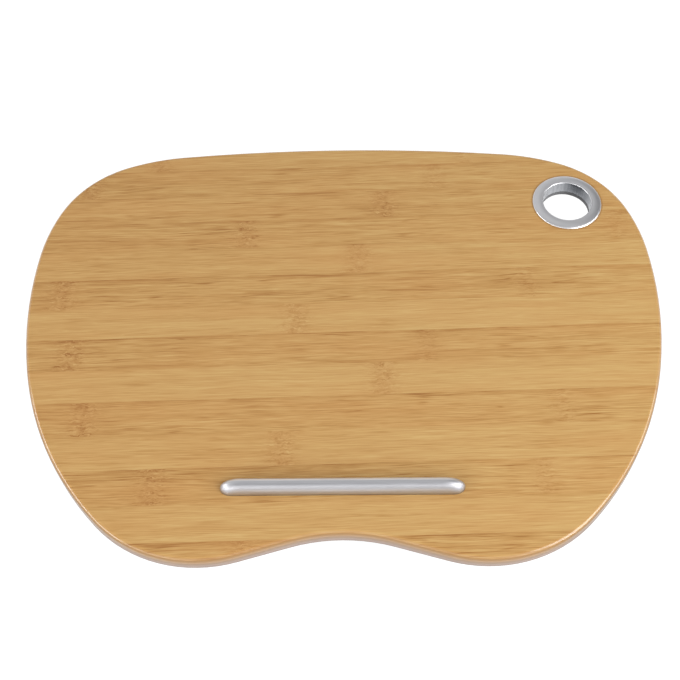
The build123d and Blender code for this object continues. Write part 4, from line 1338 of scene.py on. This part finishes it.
# ------------------------------------------------------------ floor, lights
span = (-60000, -3000, -500, 500, 3000, 60000)
floor = mesh_object("floor", [(x, y, 0) for y in span for x in span],
                    [(j * 6 + i, j * 6 + i + 1, j * 6 + i + 7, j * 6 + i + 6) for j in range(5) for i in range(5)])
fn = Net("floor_white")
grit = fn.noise(fn.mapping(fn.coord(), scale=(40, 40, 40)), 1.0, 3.0)
fn.set(Base_Color=fn.mix(grit, (0.29, 0.29, 0.29), (0.31, 0.31, 0.31)), Roughness=0.95)
fn.bsdf.inputs["Specular IOR Level"].default_value = 0.0
fn.bsdf.inputs["Emission Color"].default_value = (1, 1, 1, 1)
fn.bsdf.inputs["Emission Strength"].default_value = 0.86
clear = fn.t.nodes.new("ShaderNodeBsdfTransparent")
pick = fn.t.nodes.new("ShaderNodeMixShader")
back = fn.t.nodes.new("ShaderNodeNewGeometry")
fn.t.links.new(back.outputs["Backfacing"], pick.inputs[0])
fn.t.links.new(fn.bsdf.outputs[0], pick.inputs[1])
fn.t.links.new(clear.outputs[0], pick.inputs[2])
fn.t.links.new(pick.outputs[0], fn.out.inputs["Surface"])
floor.data.materials.append(fn.m)

world = bpy.data.worlds.new("studio")
scene.world = world
world.use_nodes = True
wt = world.node_tree
bg = wt.nodes["Background"]
tc = wt.nodes.new("ShaderNodeTexCoord")
sep = wt.nodes.new("ShaderNodeSeparateXYZ")
wt.links.new(tc.outputs["Generated"], sep.inputs[0])


def sky_ramp(fac, stops):
    r = wt.nodes.new("ShaderNodeValToRGB")
    wt.links.new(fac, r.inputs[0])
    el = r.color_ramp.elements
    el[0].position, el[0].color = stops[0][0], (stops[0][1],) * 3 + (1,)
    el[1].position, el[1].color = stops[-1][0], (stops[-1][1],) * 3 + (1,)
    for p_, c_ in stops[1:-1]:
        e_ = el.new(p_)
        e_.color = (c_, c_, c_, 1)
    return r.outputs[0]


# soft white tent: brighter towards the front, greyer above and behind
by_height = sky_ramp(sep.outputs[2], [(0.0, 1.42), (0.05, 1.0), (0.30, 0.74), (0.60, 0.62), (0.80, 0.68), (0.90, 0.68), (1.0, 0.60)])
turn = wt.nodes.new("ShaderNodeMath")
turn.operation = "MULTIPLY_ADD"
wt.links.new(sep.outputs[1], turn.inputs[0])
turn.inputs[1].default_value, turn.inputs[2].default_value = -0.5, 0.5
by_side = sky_ramp(turn.outputs[0], [(0.0, 1.12), (0.14, 1.24), (0.26, 1.30), (0.40, 1.08), (0.5, 0.97), (0.85, 1.04), (1.0, 1.08)])
mul = wt.nodes.new("ShaderNodeMix")
mul.data_type, mul.blend_type = "RGBA", "MULTIPLY"
mul.inputs[0].default_value = 1.0
wt.links.new(by_height, mul.inputs[6])
wt.links.new(by_side, mul.inputs[7])
# a dark flat stands behind and to the right
spot = wt.nodes.new("ShaderNodeVectorMath")
spot.operation = "DOT_PRODUCT"
wt.links.new(tc.outputs["Generated"], spot.inputs[0])
spot.inputs[1].default_value = (0.627, 0.526, 0.574)
by_flat = sky_ramp(spot.outputs["Value"], [(0.0, 1.0), (0.83, 1.0), (0.90, 0.62), (0.95, 0.38), (1.0, 0.32)])
flat = wt.nodes.new("ShaderNodeMix")
flat.data_type, flat.blend_type = "RGBA", "MULTIPLY"
flat.inputs[0].default_value = 1.0
wt.links.new(mul.outputs[2], flat.inputs[6])
wt.links.new(by_flat, flat.inputs[7])
wt.links.new(flat.outputs[2], bg.inputs["Color"])
bg.inputs["Strength"].default_value = 0.72


def area(name, loc, target, size, power, colour=(1, 1, 1)):
    ld = bpy.data.lights.new(name, "AREA")
    ld.shape, ld.size, ld.size_y = "RECTANGLE", size[0], size[1]
    ld.energy, ld.color = power, colour
    ob = bpy.data.objects.new(name, ld)
    scene.collection.objects.link(ob)
    ob.location = loc
    ob.rotation_euler = (Vector(target) - Vector(loc)).to_track_quat("-Z", "Y").to_euler()
    return ob


area("key", (1.12, -0.62, 1.18), (0, 0, 0.05), (0.9, 0.9), 11.0)
area("left_strip", (-1.00, -0.20, 0.50), (0, -0.05, 0.06), (0.95, 0.28), 4.1)
area("right_strip", (1.00, -0.20, 0.50), (0, -0.05, 0.06), (0.95, 0.28), 3.3)
area("left_corner", (-0.64, -0.90, 0.44), (0, -0.05, 0.06), (0.90, 0.26), 2.7)
area("right_corner", (0.68, -0.88, 0.49), (0, -0.05, 0.06), (0.80, 0.26), 1.5)
area("front_strip", (0.0, -1.15, 0.93), (0, -0.05, 0.06), (1.7, 0.20), 1.7)
